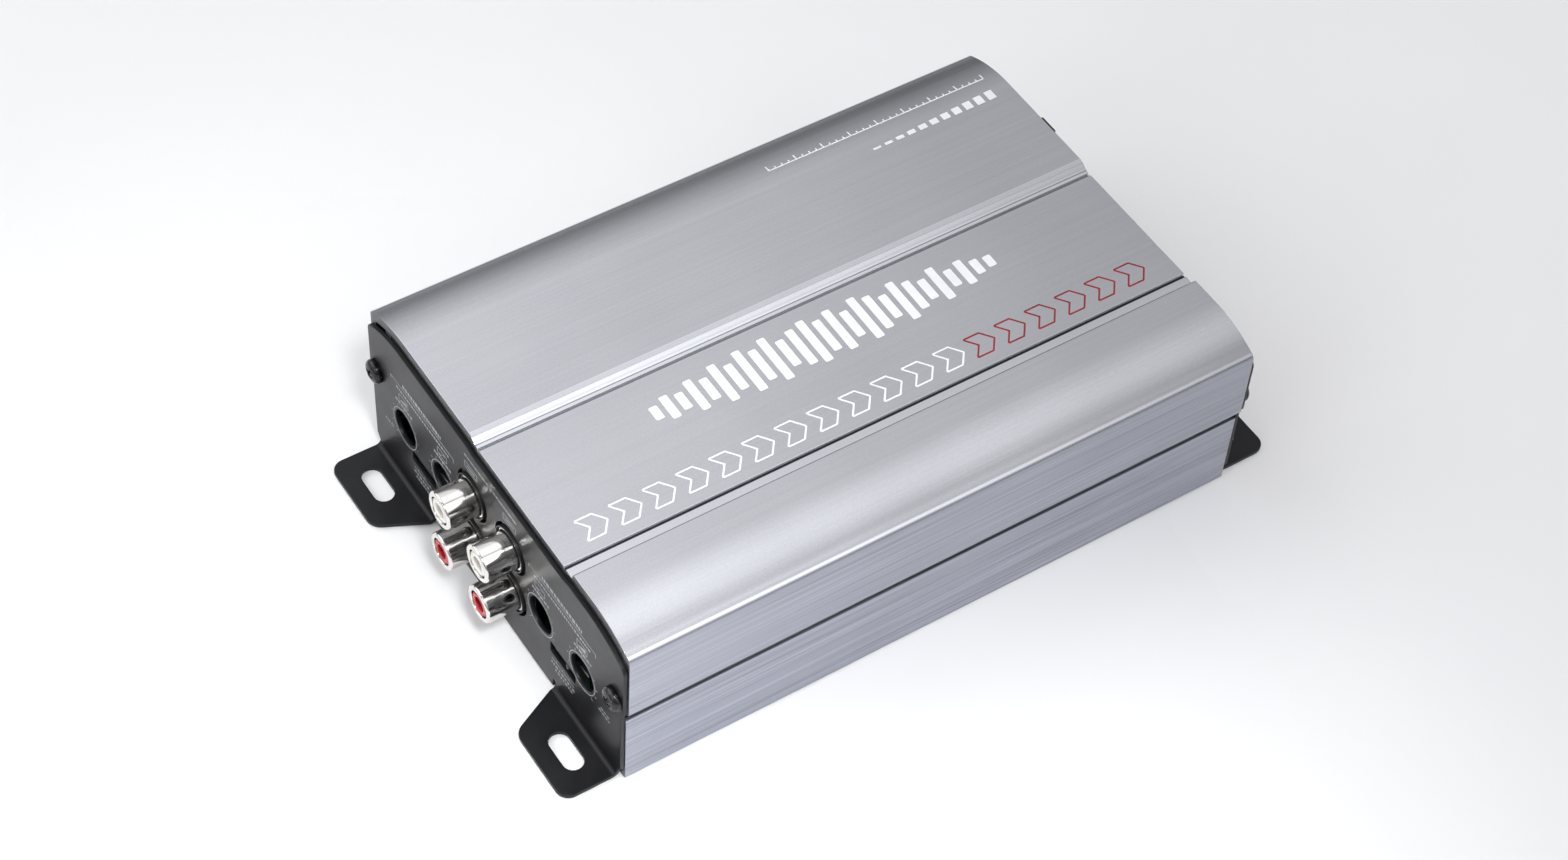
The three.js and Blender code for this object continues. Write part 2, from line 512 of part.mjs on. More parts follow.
// ------------------------------------------------------- parts on the board
{
  const body = box(-26, -2, 36.6, 40.7, 17.5, 34.5);
  const legs = box(-25, -3, 38.0, 38.8, BOARD_Z1 + 0.1, 18);
  add('amplifier_chip', body.add(legs), ...BLACK_PLASTIC);
  const t = box(16, 32, 36.6, 40.7, 18.5, 34.5).add(box(18, 30, 38.0, 38.8, BOARD_Z1 + 0.1, 19));
  add('supply_transistor', t, ...BLACK_PLASTIC);
  add('thermal_pad', box(-28, 34, 40.8, 41.1, 17.0, 35.0).subtract(box(4, 8, 40, 42, 21, 25)), 0x8a9097, 0.8, 0.0);
  let bar = box(-38, 36, 34.6, 36.4, 20.0, 26.0);
  for (const x of [-34, 6]) {
    const g = turned([[0, 0], [CLEAR_R + 0.1, 0], [CLEAR_R + 0.1, 3.0], [0, 3.0]], 16);
    g.translate(x, 34.0, 23.0);
    bar = bar.subtract(toSolid(g));
  }
  add('clamp_bar', bar, 0xa9abad, 0.4, 0.9);
  [-34, 6].forEach((x, i) => {
    const g = turned([[0, 0], [1.6, 0], [2.5, 0.5], [2.7, 1.8], [SCREW_R, 1.8], [SCREW_R, 11.0], [0, 11.0]], 16);
    g.translate(x, 32.7, 23.0);
    add(`clamp_screw_${i + 1}`, toSolid(g), 0x9c9c9c, 0.35, 0.9);
  });
  const toroid = turnedZ([[5.2, 1.2], [6.2, 0], [11.8, 0], [13, 1.4], [13, 9.6], [11.8, 11], [6.2, 11], [5.2, 9.8], [5.2, 1.2]], 38, 16, BOARD_Z1 + 0.2, 1, 16);
  add('toroid_choke', toroid, 0x9a5a2a, 0.4, 0.4);
  [[12, 22], [12, 6], [-4, 22], [-4, 6]].forEach(([x, y], i) => {
    const c = turnedZ([[0, 0], [5.9, 0], [6.25, 0.5], [6.25, 1.6], [5.95, 2.0], [6.25, 2.4], [6.25, 24.4], [5.8, 25], [0, 25]], x, y, BOARD_Z1 + 0.2, 1, 12);
    add(`reservoir_capacitor_${i + 1}`, c, 0x20242c, 0.35, 0.1);
  });
  [[30, -20], [8, -20]].forEach(([x, y], i) => {
    add(`output_inductor_${i + 1}`, box(x - 8, x + 8, y - 8, y + 8, BOARD_Z1 + 0.2, BOARD_Z1 + 12.2), 0x3c3c40, 0.6, 0.2);
  });
}

export default group;
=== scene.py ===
import math
import random
import bpy
import bmesh
from mathutils import Matrix, Vector
from mathutils.geometry import delaunay_2d_cdt


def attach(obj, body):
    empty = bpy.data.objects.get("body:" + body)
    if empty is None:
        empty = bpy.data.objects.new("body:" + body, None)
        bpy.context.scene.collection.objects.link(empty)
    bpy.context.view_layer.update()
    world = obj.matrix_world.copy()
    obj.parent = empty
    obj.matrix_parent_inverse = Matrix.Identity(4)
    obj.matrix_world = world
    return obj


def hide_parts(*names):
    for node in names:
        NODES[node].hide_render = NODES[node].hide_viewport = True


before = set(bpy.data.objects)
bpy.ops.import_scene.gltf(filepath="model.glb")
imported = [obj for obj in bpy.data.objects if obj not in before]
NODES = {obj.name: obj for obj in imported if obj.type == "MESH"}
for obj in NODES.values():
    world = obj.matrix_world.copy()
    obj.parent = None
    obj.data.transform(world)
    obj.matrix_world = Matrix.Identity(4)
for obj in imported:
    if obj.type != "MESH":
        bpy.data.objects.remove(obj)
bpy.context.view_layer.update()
MM = 0.001
scene = bpy.context.scene
rng = random.Random(7)

# ---------------------------------------------------------------- dimensions, mm
XE, HW, WALL = 72.75, 50.0, 2.0
H_STRIP, H_MID = 43.17, 41.87         # the printed graphics bring these up to the full height
SHOULDER_Y, SHOULDER_R, SHOULDER_CZ = 36.0, 29.0, 14.2
CORNER_R, Z_SPLIT, KNEE = 1.8, 22.3, 26.0
LOW_HW, LOW_TOP, LIP_Z, FLOOR_T = 49.0, 19.5, 17.9, 2.0
T = 1.0
PX0, PX1 = XE + 0.05, XE + 1.05
PORT_Y, PORT_Z, PORT_R, CLEAR_R = 46.6, 25.2, 2.8, 1.6
POT_Y, POT_Z, POT_R = [35.4, 19.6, -18.8, -34.6], 18.5, 4.1
POT_NAMES = ["gain_a", "crossover_a", "crossover_b", "gain_b"]
SW_Y, SW_Z, SW_L, SW_H = [28.0, -27.3], 12.9, 9.5, 3.0
JACK_Y, JACK_Z, JACK_HOLE_R, JACK_R = [7.6, -7.4], [26.8, 13.7], 5.8, 4.15
JACK_TIP = XE + 8.5
BOARD_Z1 = 8.2
HARN = dict(y0=-17, y1=15, z0=12.0, z1=29.5, x=XE + 6.6)
LEVEL = dict(y0=19, y1=39, z0=13.0, z1=30.0, x=XE + 7.3)
LATCH = dict(y0=26.6, y1=31.4, z1=33.2)
FUSE = dict(y0=-41.5, y1=-20.5, z0=15.5, z1=24.5, x=XE + 2.6)
FUSE_Y, FUSE_Z = -31.0, 20.0
LED_Y, LED_Z = 43.6, 13.2

# ---------------------------------------------------------------- mesh building
def arc(cx, cy, r, a0, a1, n):
    return [(cx + r * math.cos(math.radians(a0 + (a1 - a0) * i / n)),
             cy + r * math.sin(math.radians(a0 + (a1 - a0) * i / n))) for i in range(n + 1)]


def circle(cx, cy, r, n=48):
    return arc(cx, cy, r, 0, 360 * (n - 1) / n, n - 1)


def rect(u0, u1, v0, v1):
    return [(u0, v0), (u1, v0), (u1, v1), (u0, v1)]


def mirror_u(pts):
    return [(-u, v) for u, v in pts][::-1]


def fillet(pts, r, seg=4, closed=True):
    out, n = [], len(pts)
    rs = list(r) if isinstance(r, (list, tuple)) else [r] * n
    for i in range(n):
        p1 = Vector(pts[i])
        if rs[i] <= 0 or (not closed and i in (0, n - 1)):
            out.append(tuple(p1))
            continue
        a, b = Vector(pts[i - 1]) - p1, Vector(pts[(i + 1) % n]) - p1
        la, lb = a.length, b.length
        a.normalize(), b.normalize()
        ang = math.acos(max(-1, min(1, a.dot(b))))
        if ang > math.pi - 0.06 or ang < 0.02:
            out.append(tuple(p1))
            continue
        t = min(rs[i] / math.tan(ang / 2), la * 0.48, lb * 0.48)
        rad = t * math.tan(ang / 2)
        cen = p1 + (a + b).normalized() * (rad / math.sin(ang / 2))
        v0, v1 = p1 + a * t - cen, p1 + b * t - cen
        a0, a1 = math.atan2(v0.y, v0.x), math.atan2(v1.y, v1.x)
        d = (a1 - a0 + math.pi) % (2 * math.pi) - math.pi
        out += [(cen.x + rad * math.cos(a0 + d * k / seg), cen.y + rad * math.sin(a0 + d * k / seg)) for k in range(seg + 1)]
    return out


def area(p):
    return sum(p[i - 1][0] * p[i][1] - p[i][0] * p[i - 1][1] for i in range(len(p))) / 2


def turned_way(p, ccw):
    return list(p) if (area(p) > 0) == ccw else list(p)[::-1]


def inset(loop, d):
    if d == 0:
        return list(loop)
    out, n = [], len(loop)
    for i in range(n):
        p0, p1, p2 = Vector(loop[i - 1]), Vector(loop[i]), Vector(loop[(i + 1) % n])
        e1, e2 = (p1 - p0).normalized(), (p2 - p1).normalized()
        n1, n2 = Vector((-e1.y, e1.x)), Vector((-e2.y, e2.x))
        m = (n1 + n2) / max(0.25, 1 + n1.dot(n2))
        out.append(tuple(p1 + m * d))
    return out


def inside(pt, loops):
    x, y, hit = pt[0], pt[1], False
    for loop in loops:
        for i in range(len(loop)):
            (x0, y0), (x1, y1) = loop[i - 1], loop[i]
            if (y0 > y) != (y1 > y) and x < (x1 - x0) * (y - y0) / (y1 - y0) + x0:
                hit = not hit
    return hit


def prism(outline, holes, to_space, a0, a1, r=0.15, seg=2, links=()):
    """Closed solid between two depths, with rounded rims. to_space(u, v, a) gives the point in mm."""
    loops = [turned_way(outline, True)] + [turned_way(h, False) for h in holes]
    s = 1 if a1 > a0 else -1
    if r > 0:
        lv = [(a0 + s * r * (1 - math.cos(math.pi / 2 * k / seg)), r * (1 - math.sin(math.pi / 2 * k / seg))) for k in range(seg + 1)]
        lv += [(a1 - s * (a - a0) * s, i) for a, i in lv[::-1]]
    else:
        lv = [(a0, 0), (a1, 0)]
    verts, faces, rings = [], [], []
    for a, i in lv:
        ring = []
        for loop in loops:
            start = len(verts)
            verts += [to_space(u, v, a) for u, v in inset(loop, i)]
            ring.append((start, len(loop)))
        rings.append(ring)
    for k in range(len(lv) - 1):
        for (s0, n), (s1, _) in zip(rings[k], rings[k + 1]):
            faces += [(s0 + j, s0 + (j + 1) % n, s1 + (j + 1) % n, s1 + j) for j in range(n)]
    flat = [inset(loop, lv[0][1]) for loop in loops]
    co = [Vector(p) for loop in flat for p in loop]
    edges, base = [], 0
    for loop in flat:
        edges += [(base + j, base + (j + 1) % len(loop)) for j in range(len(loop))]
        base += len(loop)
    raw = [Vector(p) for loop in loops for p in loop]
    near = lambda q: min(range(len(raw)), key=lambda j: (raw[j] - Vector(q)).length_squared)
    edges += [(near(p), near(q)) for p, q in links]
    vs, _, fs, orig, _, _ = delaunay_2d_cdt(co, edges, [], 0, 1e-7)
    for end, ring_a in ((0, lv[0][0]), (len(lv) - 1, lv[-1][0])):
        first = rings[end][0][0]
        index = {}
        for j, o in enumerate(orig):
            if o:
                index[j] = first + o[0]
            else:
                index[j] = len(verts)
                verts.append(to_space(vs[j].x, vs[j].y, ring_a))
        for f in fs:
            c = sum((vs[j] for j in f), Vector((0, 0))) / len(f)
            if inside(c, flat):
                faces.append(tuple(index[j] for j in f))
    return verts, faces


along_x = lambda u, v, a: (a, u, v)
along_z = lambda u, v, a: (u, v, a)


def lathe(profile, centre, axis="x", way=1, seg=48, turn=0.0):
    """Turned solid. The profile is (radius, distance along the axis); radius 0 is a pole."""
    cx, cy, cz = centre
    put = {"x": lambda a, b, h: (cx + way * h, cy + a, cz + b), "y": lambda a, b, h: (cx + a, cy + way * h, cz + b),
           "z": lambda a, b, h: (cx + a, cy + b, cz + way * h)}[axis]
    verts, faces, rings = [], [], []
    for r, h in profile:
        if r < 1e-6:
            rings.append([len(verts)])
            verts.append(put(0, 0, h))
        else:
            rings.append([len(verts) + k for k in range(seg)])
            verts += [put(r * math.cos(2 * math.pi * k / seg + turn), r * math.sin(2 * math.pi * k / seg + turn), h) for k in range(seg)]
    closed = profile[0][0] > 1e-6
    for i in range(len(profile) if closed else len(profile) - 1):
        p, q = rings[i], rings[(i + 1) % len(profile)]
        for k in range(seg):
            k2 = (k + 1) % seg
            if len(p) == 1 and len(q) == 1:
                break
            if len(p) == 1:
                faces.append((p[0], q[k2], q[k]))
            elif len(q) == 1:
                faces.append((p[k], p[k2], q[0]))
            else:
                faces.append((p[k], p[k2], q[k2], q[k]))
    return verts, faces


def rbox(x0, x1, y0, y1, z0, z1, r=0.2, seg=2):
    bm = bmesh.new()
    bmesh.ops.create_cube(bm, size=1.0)
    for v in bm.verts:
        v.co = Vector(((x0 + x1) / 2 + v.co.x * (x1 - x0), (y0 + y1) / 2 + v.co.y * (y1 - y0), (z0 + z1) / 2 + v.co.z * (z1 - z0)))
    if r > 0:
        bmesh.ops.bevel(bm, geom=list(bm.edges), offset=r, segments=seg, profile=0.5, affect="EDGES")
    bm.verts.index_update()
    out = [tuple(v.co) for v in bm.verts], [tuple(v.index for v in f.verts) for f in bm.faces]
    bm.free()
    return out


def combine(*parts):
    verts, faces = [], []
    for v, f in parts:
        base = len(verts)
        verts += v
        faces += [tuple(base + i for i in face) for face in f]
    return verts, faces


def shade(me, sharp):
    bm = bmesh.new()
    bm.from_mesh(me)
    bmesh.ops.remove_doubles(bm, verts=bm.verts, dist=2e-7)
    bmesh.ops.dissolve_degenerate(bm, dist=1e-8, edges=bm.edges)
    bmesh.ops.recalc_face_normals(bm, faces=bm.faces)
    bm.to_mesh(me)
    bm.free()
    for p in me.polygons:
        p.use_smooth = True
    me.set_sharp_from_angle(angle=math.radians(sharp))


def make(name, geo, mat, body="chassis", nodes=(), sharp=35, weighted=True, stage=False):
    verts, faces = geo
    me = bpy.data.meshes.new(name)
    me.from_pydata([Vector(v) * MM for v in verts], [], faces)
    me.update()
    shade(me, sharp)
    ob = bpy.data.objects.new(name, me)
    scene.collection.objects.link(ob)
    me.materials.append(mat)
    if weighted:
        w = ob.modifiers.new("weighted", "WEIGHTED_NORMAL")
        w.keep_sharp = True
    if not stage:
        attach(ob, body)
        if nodes:
            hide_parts(*nodes)
    return ob


def bake_modifiers(ob, sharp=35):
    dg = bpy.context.evaluated_depsgraph_get()
    me = bpy.data.meshes.new_from_object(ob.evaluated_get(dg))
    ob.modifiers.clear()
    old = ob.data
    ob.data = me
    bpy.data.meshes.remove(old)
    shade(me, sharp)
    w = ob.modifiers.new("weighted", "WEIGHTED_NORMAL")
    w.keep_sharp = True
    return ob


def boolean(ob, geo, op="DIFFERENCE", bevel=0.0, seg=2, sharp=35):
    ob.modifiers.clear()
    me = bpy.data.meshes.new("tool")
    me.from_pydata([Vector(v) * MM for v in geo[0]], [], geo[1])
    shade(me, 30)
    tool = bpy.data.objects.new("tool", me)
    scene.collection.objects.link(tool)
    m = ob.modifiers.new("cut", "BOOLEAN")
    m.object, m.operation, m.solver = tool, op, "EXACT"
    if bevel:
        b = ob.modifiers.new("edge", "BEVEL")
        b.width, b.segments, b.limit_method, b.angle_limit = bevel * MM, seg, "ANGLE", math.radians(40)
        b.use_clamp_overlap = True
    bake_modifiers(ob, sharp)
    bpy.data.objects.remove(tool)
    bpy.data.meshes.remove(me)
    return ob


# ---------------------------------------------------------------- materials
class Mat:
    def __init__(self, name):
        self.m = bpy.data.materials.new(name)
        self.m.use_nodes = True
        self.t = self.m.node_tree
        self.t.nodes.clear()
        self.out = self.t.nodes.new("ShaderNodeOutputMaterial")
        self.b = self.t.nodes.new("ShaderNodeBsdfPrincipled")
        self.link(self.b.outputs[0], self.out.inputs[0])
        self.co = None

    def link(self, a, b):
        self.t.links.new(a, b)

    def node(self, kind, **inputs):
        n = self.t.nodes.new("ShaderNode" + kind)
        for k, v in inputs.items():
            key = k.replace("_", " ")
            s = n.inputs[key]
            if isinstance(v, bpy.types.NodeSocket):
                self.link(v, s)
            else:
                s.default_value = v
        return n

    def coords(self):
        if self.co is None:
            self.co = self.t.nodes.new("ShaderNodeTexCoord").outputs["Object"]
        return self.co

    def noise(self, scale=(1, 1, 1), detail=2.0, rough=0.55, lo=0.0, hi=1.0, distortion=0.0):
        mp = self.node("Mapping", Vector=self.coords(), Scale=scale)
        n = self.node("TexNoise", Vector=mp.outputs[0], Scale=1.0, Detail=detail, Roughness=rough, Distortion=distortion)
        r = self.node("MapRange", Value=n.outputs[0])
        r.inputs["From Min"].default_value = 0.3
        r.inputs["From Max"].default_value = 0.7
        r.inputs["To Min"].default_value = lo
        r.inputs["To Max"].default_value = hi
        return r.outputs[0]

    def math(self, op, a, b=0.0, c=None, clamp=False):
        n = self.t.nodes.new("ShaderNodeMath")
        n.operation = op
        n.use_clamp = clamp
        for i, v in enumerate((a, b) if c is None else (a, b, c)):
            if isinstance(v, bpy.types.NodeSocket):
                self.link(v, n.inputs[i])
            else:
                n.inputs[i].default_value = v
        return n.outputs[0]

    def mix(self, fac, a, b):
        n = self.t.nodes.new("ShaderNodeMix")
        n.data_type = "RGBA"
        for s, v in ((n.inputs[0], fac), (n.inputs[6], a), (n.inputs[7], b)):
            if isinstance(v, bpy.types.NodeSocket):
                self.link(v, s)
            else:
                s.default_value = v if isinstance(v, float) else (*v, 1.0)
        return n.outputs[2]

    def bump(self, height, strength, distance):
        n = self.node("Bump", Height=height, Strength=strength, Distance=distance)
        self.link(n.outputs[0], self.b.inputs["Normal"])
        return n

    def set(self, **kw):
        for k, v in kw.items():
            key = k.replace("_", " ")
            s = self.b.inputs[key]
            if isinstance(v, bpy.types.NodeSocket):
                self.link(v, s)
            else:
                s.default_value = (*v, 1.0) if isinstance(v, tuple) and len(v) == 3 and s.type == "RGBA" else v
        return self


def position(m, axis):
    s = m.node("SeparateXYZ", Vector=m.coords())
    return s.outputs["XYZ".index(axis)]


def ramp(m, value, lo, hi, to0=0.0, to1=1.0):
    r = m.node("MapRange", Value=value)
    r.inputs["From Min"].default_value, r.inputs["From Max"].default_value = lo, hi
    r.inputs["To Min"].default_value, r.inputs["To Max"].default_value = to0, to1
    return r.outputs[0]


# Painted shade: a mask for a thin dark line along a groove or the gap between the shells.
def shade_line_mask(m, value, at, half, soft=0.00006):
    return ramp(m, m.math("ABSOLUTE", m.math("SUBTRACT", value, at * MM)), half * MM + soft, half * MM)


def brushed(name, dark, light, rough=0.22, streak_low=0.30, aniso=0.4, painted_groove_shade=(), painted_shade_from=49.45):
    """Brushed, clear-anodised aluminium: the grain runs along X, coarser on the side walls than on top. The side walls
    are darkened with painted shade, and thin lines of painted shade run along the grooves and the shell split.
    """
    m = Mat(name)
    y, z = position(m, "Y"), position(m, "Z")
    fine = m.noise((22, 4200, 4200), 3.0, 0.6)
    mid = m.noise((8, 1250, 1250), 3.0, 0.62)
    broad = m.noise((2.5, 240, 240), 2.0, 0.5)
    cloud = m.noise((26, 26, 26), 2.0, 0.5)
    sparkle = m.noise((2600, 3800, 3800), 1.0, 0.5)
    scratch = ramp(m, m.noise((17, 2300, 2300), 1.0, 0.5), 0.70, 1.0)
    cutline = ramp(m, m.noise((14, 1900, 1900), 1.0, 0.5), 0.30, 0.0)
    wall = ramp(m, z, 0.0395, 0.0372)
    amount = ramp(m, wall, 0, 1, streak_low, 1.0)
    grain = m.math("ADD", m.math("MULTIPLY", fine, 0.42), m.math("ADD", m.math("MULTIPLY", mid, 0.38), m.math("MULTIPLY", broad, 0.20)))
    centred = m.math("MULTIPLY", m.math("SUBTRACT", grain, 0.5), amount)
    strokes = m.math("MULTIPLY", m.math("SUBTRACT", m.math("MULTIPLY", scratch, 0.75), m.math("MULTIPLY", cutline, 0.55)), wall)
    tone = m.math("ADD", m.math("ADD", m.math("MULTIPLY", centred, 1.25), 0.5), m.math("MULTIPLY", m.math("SUBTRACT", cloud, 0.5), 0.2))
    tone = m.math("ADD", m.math("ADD", tone, strokes), m.math("MULTIPLY", m.math("SUBTRACT", sparkle, 0.5), 0.16), clamp=True)
    colour = m.mix(tone, dark, light)
    # Painted shade: past the given |y| the side walls are multiplied by a darker, slightly bluish factor that stands in
    # for the dimmer light they get.
    side = ramp(m, m.math("ABSOLUTE", y), painted_shade_from * MM, (painted_shade_from + 0.4) * MM)
    shade_node = m.t.nodes.new("ShaderNodeMix")
    shade_node.data_type, shade_node.blend_type = "RGBA", "MULTIPLY"
    m.link(side, shade_node.inputs[0])
    m.link(colour, shade_node.inputs[6])
    shade_node.inputs[7].default_value = (*WALL_PAINTED_SHADE, 1)
    colour = shade_node.outputs[2]
    # Painted shade: each entry darkens a thin line towards near-black where a groove or the shell split falls into
    # shade.
    for axis, at, half, shade_strength in painted_groove_shade:
        v = y if axis == "Y" else z
        k = m.math("MULTIPLY", shade_line_mask(m, v, at, half), shade_strength)
        if axis == "Y":
            k = m.math("MULTIPLY", k, ramp(m, z, 0.0405, 0.0408))
        colour = m.mix(k, colour, (0.02, 0.02, 0.022))
    cut = m.math("GREATER_THAN", m.math("ABSOLUTE", position(m, "X")), XE * MM - 0.00002)
    end_grain = m.noise((900, 900, 2600), 3.0, 0.6)
    colour = m.mix(cut, colour, m.mix(end_grain, (0.12, 0.12, 0.128), (0.22, 0.22, 0.232)))
    r = m.math("ADD", m.math("MULTIPLY", centred, 0.16), rough)
    r = m.math("MAXIMUM", r, m.math("MULTIPLY", cut, 0.5))
    m.set(Base_Color=colour, Metallic=1.0, Roughness=r)
    m.b.inputs["Anisotropic"].default_value = aniso
    tan = m.t.nodes.new("ShaderNodeTangent")
    tan.direction_type, tan.axis = "RADIAL", "X"
    m.link(tan.outputs[0], m.b.inputs["Tangent"])
    m.bump(m.math("MULTIPLY", m.math("ADD", grain, strokes), amount), 0.35, 0.00002)
    return m.m


def plastic(name, a, b, rough=0.42, grain=1800, bump=0.18, dist=0.00002, spec=0.5, coat=0.0):
    m = Mat(name)
    n = m.noise((grain,) * 3, 3.0, 0.6)
    c = m.noise((160,) * 3, 2.0, 0.5)
    m.set(Base_Color=m.mix(c, a, b), Roughness=m.math("ADD", m.math("MULTIPLY", m.math("ADD", n, c), 0.05), rough - 0.05))
    m.b.inputs["Specular IOR Level"].default_value = spec
    m.b.inputs["Coat Weight"].default_value = coat
    m.bump(n, bump, dist)
    return m.m


def metal(name, a, b, rough=0.2, vary=0.08, grain=(900, 900, 900), bump=0.08, dist=0.00001, aniso=0.0):
    m = Mat(name)
    n = m.noise(grain, 3.0, 0.6)
    c = m.noise((220,) * 3, 2.0, 0.5)
    m.set(Base_Color=m.mix(c, a, b), Metallic=1.0, Roughness=m.math("ADD", m.math("MULTIPLY", n, vary), rough))
    m.b.inputs["Anisotropic"].default_value = aniso
    m.bump(n, bump, dist)
    return m.m


# Painted shade: the darker, slightly bluish multiply put on the side walls of both shells.
WALL_PAINTED_SHADE = (0.615, 0.63, 0.685)
M = {}
# The dark lines listed for both shells are painted shade along the top grooves, the shell split and the lower shell's
# top edge.
M["upper"] = brushed("upper_aluminium", (0.48, 0.485, 0.51), (0.70, 0.705, 0.735), streak_low=0.19,
                     painted_groove_shade=[("Y", -26.6, 0.20, 0.92), ("Y", -29.55, 0.16, 0.8), ("Y", 6.2, 0.13, 0.62), ("Y", 7.3, 0.09, 0.5), ("Y", 8.7, 0.95, 0.13), ("Z", Z_SPLIT + 0.04, 0.06, 0.8)])
M["lower"] = brushed("lower_aluminium", (0.45, 0.455, 0.485), (0.72, 0.725, 0.76), rough=0.30, streak_low=1.0, painted_groove_shade=[("Z", LOW_TOP - 0.04, 0.06, 0.6)], painted_shade_from=48.0)
M["panel"] = plastic("panel_black", (0.0066, 0.0068, 0.0086), (0.0105, 0.0108, 0.0130), rough=0.38, grain=3600, bump=0.25, dist=0.000016, spec=0.27)
M["foam"] = plastic("foam_black", (0.008, 0.008, 0.008), (0.018, 0.018, 0.018), rough=0.9, grain=2400, bump=0.8, dist=0.00015)
M["screw"] = metal("screw_black", (0.035, 0.035, 0.037), (0.06, 0.06, 0.063), rough=0.22, vary=0.10, grain=(2200,) * 3, bump=0.15)
M["zinc"] = metal("zinc_steel", (0.52, 0.53, 0.54), (0.66, 0.67, 0.68), rough=0.26, vary=0.14)
M["nickel"] = metal("nickel", (0.70, 0.685, 0.655), (0.80, 0.785, 0.755), rough=0.075, vary=0.07, grain=(500, 1400, 1400), bump=0.05)
M["white"] = plastic("insulator_white", (0.74, 0.72, 0.67), (0.82, 0.80, 0.75), rough=0.30, grain=2600, bump=0.08)
M["red"] = plastic("insulator_red", (0.40, 0.012, 0.022), (0.50, 0.02, 0.032), rough=0.28, grain=2600, bump=0.08)
M["moulded"] = plastic("moulded_black", (0.010, 0.010, 0.011), (0.017, 0.017, 0.018), rough=0.38, grain=2600, bump=0.2)
M["rotor"] = plastic("rotor_black", (0.012, 0.012, 0.013), (0.022, 0.022, 0.024), rough=0.45, grain=3000, bump=0.2)
M["knob"] = plastic("knob_black", (0.012, 0.012, 0.013), (0.02, 0.02, 0.021), rough=0.4, grain=3000, bump=0.25)
M["can"] = metal("switch_can", (0.45, 0.45, 0.45), (0.58, 0.58, 0.57), rough=0.28, vary=0.12)
M["connector"] = plastic("connector_black", (0.014, 0.014, 0.015), (0.022, 0.022, 0.024), rough=0.46, grain=2200, bump=0.3)
M["print"] = plastic("print_white", (0.78, 0.79, 0.80), (0.86, 0.87, 0.88), rough=0.42, grain=5000, bump=0.15, dist=0.00001)
M["print_red"] = plastic("print_red", (0.22, 0.010, 0.014), (0.29, 0.015, 0.020), rough=0.42, grain=5000, bump=0.15, dist=0.00001)
M["silk"] = plastic("silk_grey", (0.25, 0.26, 0.28), (0.38, 0.39, 0.41), rough=0.55, grain=5000, bump=0.2, dist=0.00001)

def clear_plastic(name, a, b, rough, transmission, ior=1.5):
    m = Mat(name)
    n = m.noise((420,) * 3, 2.0, 0.5)
    m.set(Base_Color=m.mix(n, a, b), Roughness=m.math("ADD", m.math("MULTIPLY", n, 0.06), rough))
    m.b.inputs["Transmission Weight"].default_value = transmission
    m.b.inputs["IOR"].default_value = ior
    m.bump(n, 0.05, 0.00002)
    return m.m


M["amber"] = clear_plastic("fuse_amber", (0.80, 0.34, 0.02), (0.92, 0.44, 0.04), 0.10, 0.55)
M["led"] = clear_plastic("led_lens", (0.60, 0.78, 0.62), (0.72, 0.88, 0.74), 0.08, 0.6)
M["epoxy"] = plastic("chip_epoxy", (0.012, 0.012, 0.013), (0.022, 0.022, 0.023), rough=0.6, grain=2600, bump=0.35)
M["pad"] = plastic("pad_grey", (0.22, 0.24, 0.26), (0.30, 0.32, 0.34), rough=0.85, grain=1800, bump=0.3)
M["ferrite"] = plastic("ferrite", (0.030, 0.030, 0.033), (0.050, 0.050, 0.054), rough=0.55, grain=1400, bump=0.4)
M["sleeve"] = plastic("capacitor_sleeve", (0.012, 0.015, 0.024), (0.020, 0.024, 0.036), rough=0.3, grain=900, bump=0.1)
M["copper"] = metal("choke_copper", (0.50, 0.17, 0.06), (0.62, 0.24, 0.09), rough=0.18, vary=0.1)


def board_material():
    m = Mat("circuit_board")
    cell = m.node("TexVoronoi", Vector=m.node("Mapping", Vector=m.coords(), Scale=(150, 150, 150)).outputs[0], Scale=1.0)
    cell.feature = "DISTANCE_TO_EDGE"
    track = ramp(m, cell.outputs[0], 0.04, 0.09)
    n = m.noise((700,) * 3, 2.0, 0.5)
    mask = m.mix(n, (0.010, 0.085, 0.035), (0.016, 0.12, 0.05))
    m.set(Base_Color=m.mix(track, m.mix(n, (0.02, 0.16, 0.07), (0.03, 0.2, 0.09)), mask), Roughness=m.math("ADD", m.math("MULTIPLY", n, 0.1), 0.3))
    m.bump(track, 0.4, 0.00003)
    return m.m


M["pcb"] = board_material()

# ---------------------------------------------------------------- upper shell
def top_z(y):
    """Outer height of the upper shell at y, on the strips and the shoulders."""
    if abs(y) <= SHOULDER_Y:
        return H_MID if -29.2 < y < 6.6 else H_STRIP
    return SHOULDER_CZ - 0.03 + math.sqrt(SHOULDER_R ** 2 - (abs(y) - SHOULDER_Y) ** 2)


def shoulder(offset, n, m=10, top=H_STRIP):
    rr, r, wall = SHOULDER_R - offset, max(CORNER_R - offset, 0.6), HW - offset
    cz0 = top + offset - SHOULDER_R if offset == 0 else SHOULDER_CZ
    pts = arc(SHOULDER_Y, cz0, rr, 90, 90 - KNEE, n)
    ky, kz = pts[-1]
    cy = wall - r
    a0 = math.degrees(math.acos(min(1, max(-1, (ky - cy) / r))))
    cz = kz - r * math.sin(math.radians(a0))
    return pts + arc(cy, cz, r, a0, 0, m)[1:]


